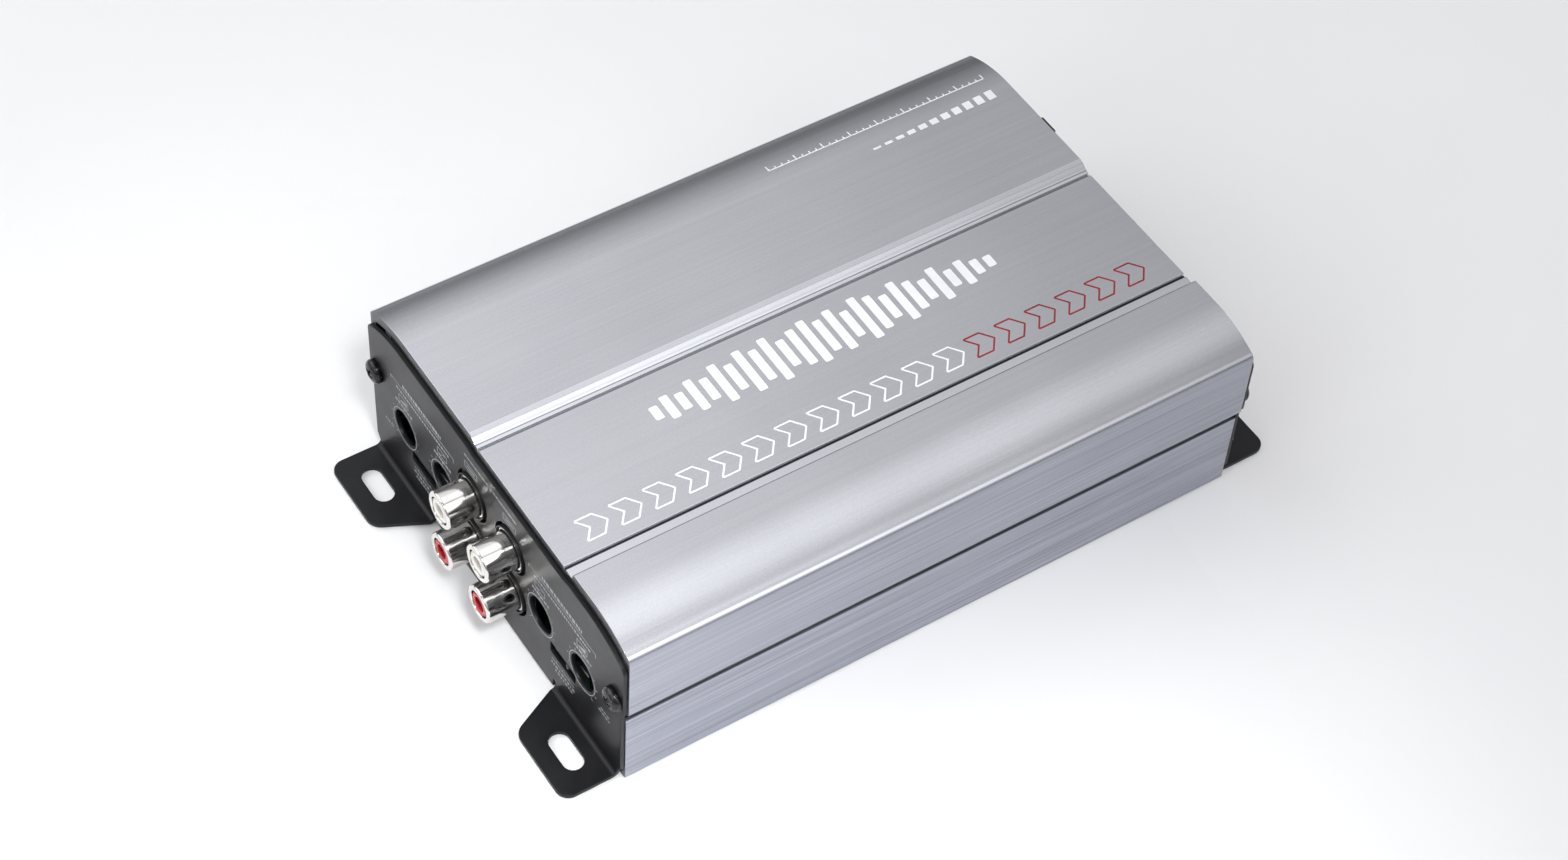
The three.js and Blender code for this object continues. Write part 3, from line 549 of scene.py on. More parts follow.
out_r = shoulder(0, 26)
in_r = [(min(y, 48.0), z) for y, z in shoulder(2.3, 12, 4)]
in_r = in_r[:1 + max(range(len(in_r)), key=lambda i: (in_r[i][0], -i))]
web_a = SHOULDER_CZ + math.sqrt(26.7 ** 2 - 5.2 ** 2)
web_b = SHOULDER_CZ + math.sqrt(26.7 ** 2 - 7.6 ** 2)
inner_plus = [p for p in in_r[::-1] if p[0] > 44.3] + [(43.6, web_b), (43.6, 16.5), (41.2, 16.5), (41.2, web_a)] + [p for p in in_r[::-1] if p[0] < 41.0]
port = arc(PORT_Y, PORT_Z, PORT_R, -85.9, -300, 26)
lip = [(HW - 0.25, Z_SPLIT), (48.0, Z_SPLIT), (48.0, LIP_Z), (46.8, LIP_Z)] + port
groove = fillet([(-31.0, H_STRIP), (-29.85, H_STRIP), (-29.45, 42.7), (-29.2, 41.72), (-28.95, 41.5), (-27.0, 41.66), (-26.75, 41.1), (-26.45, 41.1), (-26.2, H_MID), (-25, H_MID)],
                [0, 0.35, 0.2, 0.12, 0.15, 0.12, 0.1, 0.1, 0.12, 0], 3, closed=False)[1:-1]
groove2 = fillet([(4.5, H_MID), (5.8, H_MID), (6.05, 41.1), (6.35, 41.1), (6.62, 41.8), (7.4, 41.95), (8.1, 42.4), (8.75, 42.92), (9.8, H_STRIP), (11, H_STRIP)],
                 [0, 0.12, 0.1, 0.1, 0.12, 0.5, 0.4, 0.6, 0.6, 0], 3, closed=False)[1:-1]
outline = ([(-HW, Z_SPLIT + 0.25)] + mirror_u(out_r) + groove + groove2 + out_r + [(HW, Z_SPLIT + 0.25)]
           + lip + inner_plus + [(7.6, 40.9), (6.2, 39.8), (-26.6, 39.8), (-28.0, 40.9)]
           + mirror_u([p for p in in_r[::-1]]) + mirror_u(lip))
shell = make("upper_shell", prism(outline, [circle(PORT_Y, PORT_Z, CLEAR_R, 32), circle(-PORT_Y, PORT_Z, CLEAR_R, 32)], along_x, -XE, XE, r=0.09, seg=2),
             M["upper"], nodes=["heatsink_shell"], sharp=32)

# ---------------------------------------------------------------- lower shell
iw = LOW_HW - WALL
side = fillet([(LOW_HW, 0), (LOW_HW, LOW_TOP), (48.25, LOW_TOP), (48.25, 17.5), (iw, 16.8), (iw, 9.8), (45.2, 9.6), (45.2, 8.4), (47.2, 8.4), (47.2, 6.4),
               (45.2, 6.4), (45.2, 5.2), (iw, 5.0), (iw, FLOOR_T)], [0.6, 0.25, 0.15, 0.2, 0.2, 0.2, 0.2, 0.1, 0, 0, 0.1, 0.2, 0.2, 0.8], 3, closed=False)
side = fillet([(0, 0), (LOW_HW, 0), (LOW_HW, LOW_TOP)], [0, 0.6, 0], 4, closed=False)[1:-1] + side[1:]
base = make("lower_shell", prism(side + mirror_u(side), [], along_x, -XE, XE, r=0.08, seg=2), M["lower"], nodes=["base_shell"], sharp=32)
sinks = combine(*[lathe([(0, -0.5), (3.0, -0.5), (3.0, 0.25), (1.65, 1.6), (1.65, 3.2), (0, 3.2)], (sx * 67, sy * 13, 0), "z", 1, 40) for sx in (1, -1) for sy in (1, -1)])
boolean(base, sinks, sharp=32)

# ---------------------------------------------------------------- end panels
RI_F = 1.2
S_F = T + RI_F
L_F = RI_F * math.pi / 2


def panel_map(sign):
    """Unrolled sheet (y, s) at depth d from the outer face, to space. Feet bend outwards."""
    def f(y, s, d):
        if s < S_F and FOOT_IN - 0.6 < abs(y):
            phi = (S_F - s) / RI_F
            cx, cz = PX1 + RI_F, T + RI_F
            if phi <= math.pi / 2:
                x, z = cx - (RI_F + d) * math.cos(phi), cz - (RI_F + d) * math.sin(phi)
            else:
                x, z = cx + (S_F - L_F - s), T - d
        else:
            x, z = PX1 - d, s
        return (sign * x, y, z)
    return f


FOOT_IN, FOOT_OUT, FOOT_X = 24.2, 47.7, 85.75
EAR0, EAR1 = 8.0, 18.0
foot_s = lambda X: S_F - L_F + PX1 + RI_F - X
NB = 6
foot_side = [S_F - L_F * k / NB for k in range(NB + 1)]


def tab_outline():
    """+Y half of the unrolled panel, from the bottom centre round to the top centre."""
    p = []
    p += [(FOOT_IN - 0.9, 0.4), (FOOT_IN - 0.9, S_F + 0.6), (FOOT_IN, S_F + 0.6)]
    p += [(FOOT_IN, s) for s in foot_side]
    corner = fillet([(FOOT_IN, foot_side[-1]), (FOOT_IN + 0.15, foot_s(75.3)), (29.45, foot_s(FOOT_X)), (FOOT_OUT, foot_s(FOOT_X)), (FOOT_OUT, foot_side[-1])],
                    [0, 0, 3.4, 2.8, 0], 8, closed=False)[1:-1]
    p += corner + [(FOOT_OUT, s) for s in foot_side[::-1]]
    hi = arc(SHOULDER_Y, SHOULDER_CZ, SHOULDER_R - 2.9, 66.5, 90, 14)
    knee = fillet([(48.8, 3.8), (49.6, 22.6), (49.6, 36.75), hi[0]], [0, 0, 2.1, 0], 7, closed=False)[2:-1]
    p += [(48.8, 3.7), (48.8, 21.6), (49.6, 22.6)] + knee + hi
    return p


def slot_hole(y, s, w_s, l_y, n=10):
    r, h = w_s / 2, l_y / 2 - w_s / 2
    return arc(y + h, s, r, -90, 90, n) + arc(y - h, s, r, 90, 270, n)


def panel(name, sign, holes, node):
    half = tab_outline()
    top = [(9.4, 40.3), (6.9, 39.75)]
    top_l = [(-27.2, 39.75), (-29.6, 40.3)]
    outline = half + top + top_l + mirror_u(half)
    common = []
    for s in (1, -1):
        common.append(circle(s * PORT_Y, PORT_Z, CLEAR_R, 28))
        common.append(slot_hole(s * 38.2, foot_s(79.5), 4.4, 9.6))
    links = []
    for s in (1, -1):
        links += [((s * FOOT_IN, v), (s * FOOT_OUT, v)) for v in foot_side]
    return make(name, prism(outline, common + holes, panel_map(sign), 0, T, r=0.16, seg=2, links=links), M["panel"], nodes=[node], sharp=34)


holes_in = [circle(y, POT_Z, POT_R, 48) for y in POT_Y]
holes_in += [fillet(rect(y - SW_L / 2, y + SW_L / 2, SW_Z - SW_H / 2, SW_Z + SW_H / 2), 0.35, 3) for y in SW_Y]
holes_in += [circle(y, z, JACK_HOLE_R, 56) for y in JACK_Y for z in JACK_Z]
panel("input_end_panel", -1, holes_in, "input_panel")
c = 0.4
latch_hole = [(LEVEL["y0"] - c, LEVEL["z0"] - c), (LEVEL["y1"] + c, LEVEL["z0"] - c), (LEVEL["y1"] + c, LEVEL["z1"] + c), (LATCH["y1"] + c, LEVEL["z1"] + c),
              (LATCH["y1"] + c, LATCH["z1"] + c), (LATCH["y0"] - c, LATCH["z1"] + c), (LATCH["y0"] - c, LEVEL["z1"] + c), (LEVEL["y0"] - c, LEVEL["z1"] + c)]
holes_out = [fillet(rect(HARN["y0"] - c, HARN["y1"] + c, HARN["z0"] - c, HARN["z1"] + c), 0.5, 3), fillet(latch_hole, 0.4, 3),
             fillet(rect(FUSE["y0"] - c, FUSE["y1"] + c, FUSE["z0"] - c, FUSE["z1"] + c), 0.5, 3), circle(LED_Y, LED_Z, 1.75, 28)]
panel("output_end_panel", 1, holes_out, "output_panel")
for nm, sg in (("input", -1), ("output", 1)):
    for side_name, sy in (("far", 1), ("near", -1)):
        o = fillet([(62.0, EAR0), (62.0, EAR1), (72.95, EAR1), (72.95, EAR0)], [1.2, 1.2, 0, 0], 5)
        ear = prism([(sg * x, sy * y) for x, y in o], [circle(sg * 67.0, sy * 13.0, CLEAR_R, 28)], along_z, 2.4, 3.4, r=0.14, seg=2)
        make(f"{nm}_ear_{side_name}", ear, M["panel"], sharp=34)

# ---------------------------------------------------------------- screws
def cross_cut(size, width, a0, a1, put, taper=0.55):
    """Cross recess cutter that narrows with depth, from a0 (mouth) to a1 (bottom)."""
    def ring(k):
        a, w = size / 2 * k, width / 2 * (0.6 + 0.4 * k)
        return [(-a, -w), (-w, -w), (-w, -a), (w, -a), (w, -w), (a, -w), (a, w), (w, w), (w, a), (-w, a), (-w, w), (-a, w)]
    verts = [put(u, v, a0) for u, v in ring(1.0)] + [put(u, v, a1) for u, v in ring(taper)]
    faces = [tuple(range(12))[::-1], tuple(range(12, 24))] + [(j, (j + 1) % 12, 12 + (j + 1) % 12, 12 + j) for j in range(12)]
    return verts, faces


def pan_screw(name, sign, y, node):
    prof = [(0, 0.0)] + fillet([(0, 0.0), (1.0, 0.0), (1.3, 0.5), (1.3, 8.05), (2.7, 8.05), (2.7, 8.85), (2.3, 9.5), (1.2, 9.84), (0, 9.9)],
                               [0, 0, 0, 0.1, 0.12, 0.35, 0.9, 1.2, 0], 4, closed=False)[1:-1] + [(0, 9.9)]
    ob = make(name, lathe(prof, (sign * (PX1 - 8.0), y, PORT_Z), "x", sign, 40), M["screw"], nodes=[node], sharp=40)
    put = lambda u, v, a: (sign * (PX1 - 8.0 + a), y + u * 0.924 - v * 0.383, PORT_Z + u * 0.383 + v * 0.924)
    boolean(ob, cross_cut(2.9, 0.85, 10.2, 8.75, put), bevel=0.05, seg=1, sharp=40)


for nm, sg in (("input", -1), ("output", 1)):
    pan_screw(f"{nm}_screw_far", sg, PORT_Y, f"panel_screw_{nm}_far")
    pan_screw(f"{nm}_screw_near", sg, -PORT_Y, f"panel_screw_{nm}_near")
for i, (sx, sy) in enumerate([(-1, 1), (-1, -1), (1, 1), (1, -1)]):
    prof = fillet([(0, 0.1), (2.75, 0.1), (2.75, 0.32), (1.3, 1.7), (1.3, 5.3), (0, 5.3)], [0, 0.08, 0.05, 0.1, 0.15, 0], 3, closed=False)
    ob = make(f"underside_screw_{i + 1}", lathe(prof, (sx * 67, sy * 13, 0), "z", 1, 36), M["screw"], nodes=[f"base_screw_{i + 1}"], sharp=40)
    boolean(ob, cross_cut(2.6, 0.75, -0.3, 1.0, lambda u, v, a, X=sx * 67, Y=sy * 13: (X + u, Y + v, a)), bevel=0.04, seg=1, sharp=40)

# ---------------------------------------------------------------- phono jacks
for i, y in enumerate(JACK_Y):
    tag = "ab"[i]
    parts = rbox(-71.9, -60.0, y - 6.4, y + 6.4, BOARD_Z1 + 0.1, 33.8, 0.35, 3)
    h = make(f"phono_block_{tag}", parts, M["moulded"], nodes=[f"phono_housing_{tag}"], sharp=35)
    for z in JACK_Z:
        boolean(h, lathe([(0, -75), (4.35, -75), (4.35, -67.6), (0, -67.6)], (0, y, z), "x", 1, 48), sharp=35)
    for z in JACK_Z:
        boolean(h, lathe(fillet([(4.35, -71.95), (4.35, -73.3), (4.8, -73.3), (4.8, -74.25), (5.1, -74.25), (5.1, -71.95)], [0, 0, 0.05, 0.06, 0.1, 0], 3), (0, y, z), "x", 1, 48),
                op="UNION", sharp=35)
    for j, z in enumerate(JACK_Z):
        side_name = ["left", "right"][j]
        L = JACK_TIP
        prof = fillet([(3.0, 67.8), (3.0, L), (JACK_R, L), (JACK_R, 73.9), (4.6, 73.9), (4.6, 73.4), (JACK_R, 73.4), (JACK_R, 67.8)],
                      [0, 0.28, 0.5, 0.12, 0.12, 0.12, 0.08, 0], 5)
        sleeve = make(f"phono_barrel_{tag}_{side_name}", lathe(prof, (0, y, z), "x", -1, 72), M["nickel"], nodes=[f"phono_sleeve_{tag}_{side_name}"], sharp=40)
        # pressed dimple that locks the barrel on its insulator
        for ang in (-118, 62):
            a = math.radians(ang)
            cy, cz = y + math.cos(a) * 4.2, z + math.sin(a) * 4.2
            u = Vector((0, -math.sin(a), math.cos(a)))
            n = Vector((0, math.cos(a), math.sin(a)))
            box = rbox(-0.9, 0.9, -0.55, 0.55, -0.5, 0.5, 0.15, 2)
            vs = [tuple(Vector((-75.6 + v[0], cy, cz)) + u * v[1] + n * v[2]) for v in box[0]]
            boolean(sleeve, (vs, box[1]), bevel=0.0, sharp=40)
        prof = [(0, 67.8)] + fillet([(0, 67.8), (2.75, 67.8), (2.75, L - 0.15), (1.65, L - 0.15), (1.65, 71.0), (0, 71.0)], [0, 0.1, 0.45, 0.22, 0.1, 0], 4, closed=False)[1:-1] + [(0, 71.0)]
        make(f"phono_core_{tag}_{side_name}", lathe(prof, (0, y, z), "x", -1, 56), M["white" if j == 0 else "red"], nodes=[f"phono_insulator_{tag}_{side_name}"],
             sharp=40)
        # split spring contact down the middle of the insulator
        leaf = fillet(arc(0, 0, 1.5, 20, 160, 10) + arc(0, 0, 1.28, 160, 20, 10), 0.03, 1)
        leaf2 = [(-a, -b) for a, b in leaf]
        for k, lf in enumerate((leaf, leaf2)):
            make(f"phono_contact_{tag}_{side_name}_{k + 1}", prism([(y + a, z + b) for a, b in lf], [], along_x, -71.2, -L + 3.2, r=0.04, seg=1), M["zinc"], sharp=40)

# ---------------------------------------------------------------- trimmers and switches
for i, y in enumerate(POT_Y):
    nm = POT_NAMES[i]
    b = make(f"{nm}_pot_body", rbox(-67.0, -60.5, y - 4.5, y + 4.5, BOARD_Z1 + 0.1, POT_Z + 4.9, 0.3, 2), M["moulded"], nodes=[f"{nm}_trimmer_body"])
    boolean(b, lathe(fillet([(0, -69.3), (3.9, -69.3), (3.9, -66), (0, -66)], [0, 0.25, 0, 0], 3, closed=False), (0, y, POT_Z), "x", 1, 44), op="UNION")
    boolean(b, lathe([(0, -70), (3.1, -70), (3.1, -65.2), (0, -65.2)], (0, y, POT_Z), "x", 1, 44))
    prof = [(0, -65.4)] + fillet([(0, -65.4), (2.85, -65.4), (2.85, -69.5), (0, -69.5)], [0, 0.1, 0.3, 0], 4, closed=False)[1:-1] + [(0, -69.5)]
    r = make(f"{nm}_rotor", lathe(prof, (0, y, POT_Z), "x", 1, 48), M["rotor"], body=f"{nm}_rotor", nodes=[f"{nm}_trimmer_rotor"], sharp=40)
    boolean(r, rbox(-71, -68.6, y - 2.3, y + 2.3, POT_Z - 0.45, POT_Z + 0.45, 0.0), bevel=0.06, seg=1, sharp=40)
for i, y in enumerate(SW_Y):
    t = "ab"[i]
    b = make(f"slide_switch_{t}", rbox(-70.8, -67.3, y - 5.3, y + 5.3, BOARD_Z1 + 0.1, 14.9, 0.25, 2), M["can"], nodes=[f"filter_switch_{t}_body"])
    boolean(b, rbox(-72, -69.5, y - 4.65, y + 4.65, SW_Z - 1.3, SW_Z + 1.3, 0.0), bevel=0.08, seg=1)
    k = make(f"slide_knob_{t}", rbox(-73.0, -69.8, y - 1.7, y + 1.7, SW_Z - 1.0, SW_Z + 1.0, 0.15, 2), M["knob"], body=f"filter_switch_{t}_slider", nodes=[f"filter_switch_{t}_knob"])
    ridges = combine(*[rbox(-73.4, -72.75, y + d - 0.14, y + d + 0.14, SW_Z - 1.4, SW_Z + 1.4, 0.0) for d in (-1.05, -0.35, 0.35, 1.05)])
    boolean(k, ridges, sharp=35)

# ---------------------------------------------------------------- connectors, output end
def header(name, node, h, extra=(), cuts=()):
    ob = make(name, rbox(60.5, 72.2, h["y0"], h["y1"], BOARD_Z1 + 0.1, h["z1"], 0.0), M["connector"], nodes=[node])
    boolean(ob, rbox(70, h["x"], h["y0"], h["y1"], h["z0"], h["z1"], 0.0), op="UNION")
    for e in extra:
        boolean(ob, e, op="UNION")
    for k in cuts[:-1]:
        boolean(ob, k)
    boolean(ob, cuts[-1], bevel=0.22, seg=2, sharp=38)
    return ob


h = HARN
header("harness_connector", "harness_header", h,
       cuts=[rbox(69.5, h["x"] + 1, h["y0"] + 1.4, h["y1"] - 1.4, h["z0"] + 1.4, h["z1"] - 1.4, 0.0),
             rbox(74.4, h["x"] + 1, -4, 2, h["z1"] - 2, h["z1"] + 1, 0.0)])
ribs = combine(*[rbox(70.2, h["x"] - 0.9, y - 0.45, y + 0.45, z0, z1, 0.1, 1) for y in (-9.0, 5.2) for z0, z1 in ((h["z0"] + 1.2, h["z0"] + 2.6),)])
make("harness_keying_ribs", ribs, M["connector"])
pins = combine(*[rbox(69.2, 76.4, y - 0.32, y + 0.32, z - 0.9, z + 0.9, 0.16, 2) for y in [-13.2 + 3.43 * k for k in range(8)] for z in (17.4, 24.1)])
make("harness_pins", pins, M["zinc"])
h = LEVEL
header("level_connector", "level_input_header", h, extra=[rbox(71, h["x"], LATCH["y0"], LATCH["y1"], h["z1"] - 0.5, LATCH["z1"], 0.0)],
       cuts=[rbox(69.5, h["x"] + 1, h["y0"] + 1.4, h["y1"] - 1.4, h["z0"] + 1.4, h["z1"] - 1.4, 0.0),
             rbox(74.5, h["x"] + 1, LATCH["y0"] + 1.2, LATCH["y1"] - 1.2, h["z1"] - 2, LATCH["z1"] - 1.1, 0.0)])
pins = combine(*[rbox(69.2, 76.8, y - 0.32, y + 0.32, z - 0.32, z + 0.32, 0.12, 2) for y in [22.9 + 4.05 * k for k in range(4)] for z in (18.3, 24.4)])
make("level_pins", pins, M["zinc"])
f = FUSE
header("fuse_holder", "fuse_socket", dict(y0=f["y0"], y1=f["y1"], z0=f["z0"], z1=f["z1"], x=f["x"]),
       cuts=[rbox(62.5, 72, FUSE_Y - 6.9 - 2.9, FUSE_Y - 6.9 + 2.9, FUSE_Z - 0.7, FUSE_Z + 0.7, 0.0),
             rbox(62.5, 72, FUSE_Y + 6.9 - 2.9, FUSE_Y + 6.9 + 2.9, FUSE_Z - 0.7, FUSE_Z + 0.7, 0.0),
             rbox(71.2, f["x"] + 1, FUSE_Y - 9.8, FUSE_Y + 9.8, FUSE_Z - 2.85, FUSE_Z + 2.85, 0.0)])
fx = 71.5
fuse = make("fuse_body", rbox(fx, fx + 9.0, FUSE_Y - 9.1, FUSE_Y + 9.1, FUSE_Z - 2.35, FUSE_Z + 2.35, 0.0), M["amber"], body="fuse_body", nodes=["fuse"])
boolean(fuse, rbox(fx + 7.4, fx + 11.0, FUSE_Y - 9.55, FUSE_Y + 9.55, FUSE_Z - 2.55, FUSE_Z + 2.55, 0.0), op="UNION")
for d in (-6.9, 6.9):
    boolean(fuse, rbox(fx + 10.2, fx + 12, FUSE_Y + d - 1.0, FUSE_Y + d + 1.0, FUSE_Z - 0.6, FUSE_Z + 0.6, 0.0))
boolean(fuse, rbox(fx + 10.5, fx + 12, FUSE_Y - 3.6, FUSE_Y + 3.6, FUSE_Z - 1.5, FUSE_Z + 1.5, 0.0), bevel=0.28, seg=2, sharp=38)
blade = []
for d in (-6.9, 6.9):
    o = fillet([(fx + 9.4, d - 2.6), (fx + 9.4, d + 2.6), (fx - 6.6, d + 2.6), (fx - 7.8, d + 1.4), (fx - 7.8, d - 1.4), (fx - 6.6, d - 2.6)], [0.4, 0.4, 0, 0.3, 0.3, 0], 3)
    blade.append(prism([(x, FUSE_Y + y) for x, y in o], [], along_z, FUSE_Z - 0.35, FUSE_Z + 0.35, r=0.12, seg=2))
link = fillet([(fx + 2.6, -4.6), (fx + 6.4, -4.6), (fx + 6.4, 4.6), (fx + 2.6, 4.6), (fx + 2.6, 3.4), (fx + 5.2, 3.4), (fx + 5.2, -3.4), (fx + 2.6, -3.4)], 0.25, 3)
blade.append(prism([(x, FUSE_Y + y) for x, y in link], [], along_z, FUSE_Z - 0.2, FUSE_Z + 0.2, r=0.06, seg=1))
make("fuse_blades", combine(*blade), M["zinc"], body="fuse_body", sharp=40)
prof = [(0, 0)] + fillet([(0, 0), (1.95, 0), (1.95, 1.0), (1.5, 1.0), (1.5, 4.1), (1.28, 4.9), (0.8, 5.35), (0, 5.5)], [0, 0.1, 0.1, 0.05, 0.4, 0.5, 0.6, 0], 4, closed=False)[1:-1] + [(0, 5.5)]
make("indicator_lens", lathe(prof, (69.2, LED_Y, LED_Z), "x", 1, 40), M["led"], nodes=["status_led"], sharp=45)

# ---------------------------------------------------------------- inside the case
def legs(x0, pitch, n, y0, y1, z0, z1, w=0.35):
    return combine(*[rbox(x0 + pitch * k - w, x0 + pitch * k + w, y0, y1, z0, z1, 0.08, 1) for k in range(n)])


make("amplifier_package", rbox(-26, -2, 36.6, 40.7, 17.5, 34.5, 0.35, 3), M["epoxy"], nodes=["amplifier_chip"])
make("amplifier_leads", legs(-24.4, 1.485, 15, 38.05, 38.75, BOARD_Z1 + 0.1, 17.7), M["zinc"])
make("transistor_package", rbox(16, 32, 36.6, 40.7, 18.5, 34.5, 0.35, 3), M["epoxy"], nodes=["supply_transistor"])
make("transistor_leads", legs(18.8, 5.2, 3, 38.05, 38.75, BOARD_Z1 + 0.1, 18.7, 0.6), M["zinc"])
cz = BOARD_Z1 + 0.2
make("choke_core", lathe(fillet([(6.35, 1.15), (11.85, 1.15), (11.85, 9.85), (6.35, 9.85)], 0.9, 4), (38, 16, cz), "z", 1, 56), M["ferrite"], sharp=45)


def winding(turns, wire):
    verts, faces = [], []
    path = fillet([(5.75, 0.58), (12.4, 0.58), (12.4, 10.42), (5.75, 10.42)], 1.2, 5)
    for k in range(turns):
        a = 2 * math.pi * (k + 0.5) / (turns + 2)
        base = len(verts)
        n = len(path)
        for i, (r, hh) in enumerate(path):
            p0, p1 = Vector(path[i - 1]), Vector(path[(i + 1) % n])
            t = (p1 - p0).normalized()
            nrm = Vector((t.y, -t.x))
            for q in range(8):
                b = 2 * math.pi * q / 8
                rr = r + nrm.x * wire * math.cos(b)
                side_off = wire * math.sin(b)
                verts.append((38 + rr * math.cos(a) - side_off * math.sin(a), 16 + rr * math.sin(a) + side_off * math.cos(a), cz + hh + nrm.y * wire * math.cos(b)))
        for i in range(n):
            i2 = (i + 1) % n
            faces += [(base + i * 8 + q, base + i * 8 + (q + 1) % 8, base + i2 * 8 + (q + 1) % 8, base + i2 * 8 + q) for q in range(8)]
    return verts, faces


make("choke_winding", winding(26, 0.54), M["copper"], nodes=["toroid_choke"], sharp=60, weighted=False)
for i, (x, y) in enumerate([(12, 22), (12, 6), (-4, 22), (-4, 6)]):
    prof = [(0, 0)] + fillet([(0, 0), (5.9, 0), (6.25, 0.5), (6.25, 1.5), (5.95, 2.0), (6.25, 2.5), (6.25, 24.7), (5.5, 24.95), (5.4, 24.5), (0, 24.5)],
                             [0, 0.3, 0.3, 0.3, 0.3, 0.3, 0.4, 0.2, 0.1, 0], 3, closed=False)[1:-1] + [(0, 24.5)]
    make(f"capacitor_sleeve_{i + 1}", lathe(prof, (x, y, cz), "z", 1, 48), M["sleeve"], nodes=[f"reservoir_capacitor_{i + 1}"], sharp=40)
    top = make(f"capacitor_top_{i + 1}", lathe([(0, 24.4)] + fillet([(0, 24.4), (5.35, 24.4), (5.35, 24.75), (0, 24.75)], [0, 0, 0.2, 0], 3, closed=False)[1:-1] + [(0, 24.75)], (x, y, cz), "z", 1, 48), M["zinc"])
    boolean(top, combine(rbox(x - 4.2, x + 4.2, y - 0.12, y + 0.12, cz + 24.62, cz + 25.2, 0.0), ), sharp=40)
    boolean(top, combine(rbox(x - 0.12, x + 0.12, y - 4.2, y + 4.2, cz + 24.62, cz + 25.2, 0.0), ), sharp=40)
for i, (x, y) in enumerate([(30, -20), (8, -20)]):
    ob = make(f"inductor_{i + 1}", rbox(x - 8, x + 8, y - 8, y + 8, cz, cz + 12, 0.9, 3), M["ferrite"], nodes=[f"output_inductor_{i + 1}"])
    boolean(ob, lathe([(4.6, 11.55), (4.9, 11.55), (4.9, 12.6), (4.6, 12.6)], (x, y, cz), "z", 1, 40), sharp=38)

# ---------------------------------------------------------------- carried-over nodes
for name, mat in (("input_gasket", "foam"), ("output_gasket", "foam"), ("main_board", "pcb"), ("thermal_pad", "pad"), ("clamp_bar", "zinc"),
                  ("clamp_screw_1", "zinc"), ("clamp_screw_2", "zinc")):
    for k in NODES[name].material_slots:
        k.material = M[mat]

# ---------------------------------------------------------------- printed graphics
# Generic marks only: a level-meter band, a row of chevrons, scales and rules. There is no lettering apart from a 0
# beside two of the dials.
def on_top(u, v, a):
    return (u, v, top_z(v) + a)


def prints(name, shapes, mat, to_space, lift=0.028, sink=0.03):
    geo = combine(*[prism(o, hs, to_space, -sink, lift, r=0.0) for o, hs in shapes])
    return make(name, geo, M[mat], sharp=30, weighted=False)


bars = []
levels = [0.30, 0.52, 0.38, 0.70, 0.50, 0.86, 0.60, 0.96, 0.72, 1.00, 0.62, 0.84, 1.00, 0.74, 0.96, 0.62, 1.00, 0.80, 0.56, 0.92, 0.68, 0.48, 0.78, 0.40, 0.58, 0.34, 0.26]
for k, lv in enumerate(levels):
    x = -38.6 + 3.04 * k
    hh = 11.8 * lv / 2
    bars.append((fillet(rect(x - 0.95, x + 0.95, -3.3 - hh, -3.3 + hh), 0.35, 3), []))
prints("graphic_level_band", bars, "print", on_top)


def chevron(x, y, w=6.5, hgt=5.7, line=0.38):
    o = [(x, y), (x + w - 2.2, y), (x + w, y + hgt / 2), (x + w - 2.2, y + hgt), (x, y + hgt), (x + 2.2, y + hgt / 2)]
    o = turned_way(o, True)
    return fillet(o, 0.35, 3), [fillet(inset(o, line), 0.1, 2)]


prints("graphic_chevrons_white", [chevron(-66.3 + 7.45 * k, -23.65) for k in range(12)], "print", on_top)
prints("graphic_chevrons_red", [chevron(-66.3 + 7.45 * k, -23.65) for k in range(12, 18)], "print_red", on_top)
scale_marks = [(rect(14.6, 69.0, 39.55, 39.83), [])]
for k in range(33):
    x = 14.8 + 1.694 * k
    scale_marks.append((rect(x - 0.13, x + 0.13, 39.85, 40.4 if k % 4 else 41.2), []))
prints("graphic_scale", scale_marks, "print", on_top)
prints("graphic_steps", [(fillet(rect(36.8 + 2.95 * k, 38.7 + 2.95 * k, 33.5, 34.0 + 0.2 * k), 0.12, 2), []) for k in range(11)], "print", on_top)

SEG = {"a": (0, 1, 1, 1), "b": (1, 0.5, 1, 1), "c": (1, 0, 1, 0.5), "d": (0, 0, 1, 0), "e": (0, 0, 0, 0.5), "f": (0, 0.5, 0, 1), "g": (0, 0.5, 1, 0.5)}
DIGIT = {"0": "abcdef", "1": "bc"}


def digit(ch, u, v, hgt, way):
    w, t, out = hgt * 0.55, hgt * 0.13, []
    for k in DIGIT[ch]:
        x0, y0, x1, y1 = SEG[k]
        a0, a1 = sorted((u + way * (x0 * w - w / 2), u + way * (x1 * w - w / 2)))
        b0, b1 = v + y0 * hgt, v + y1 * hgt
        b0, b1 = min(b0, b1), max(b0, b1)
        out.append((rect(a0 - t / 2, a1 + t / 2, b0 - t / 2, b1 + t / 2), []))
    return out


def ring(u, v, r, t, n=64):
    return circle(u, v, r + t / 2, n), [circle(u, v, r - t / 2, n)]


def frame_box(u, v, w, hh, t=0.16):
    o = turned_way(rect(u - w / 2, u + w / 2, v - hh / 2, v + hh / 2), True)
    return fillet(o, 0.3, 3), [fillet(inset(o, t), 0.14, 2)]


def spoke(u, v, ang, r0, r1, t):
    a = math.radians(ang)
    d, n = Vector((math.cos(a), math.sin(a))), Vector((-math.sin(a), math.cos(a)))
    c0 = Vector((u, v))
    return [tuple(c0 + d * r0 + n * t / 2), tuple(c0 + d * r0 - n * t / 2), tuple(c0 + d * r1 - n * t / 2), tuple(c0 + d * r1 + n * t / 2)], []


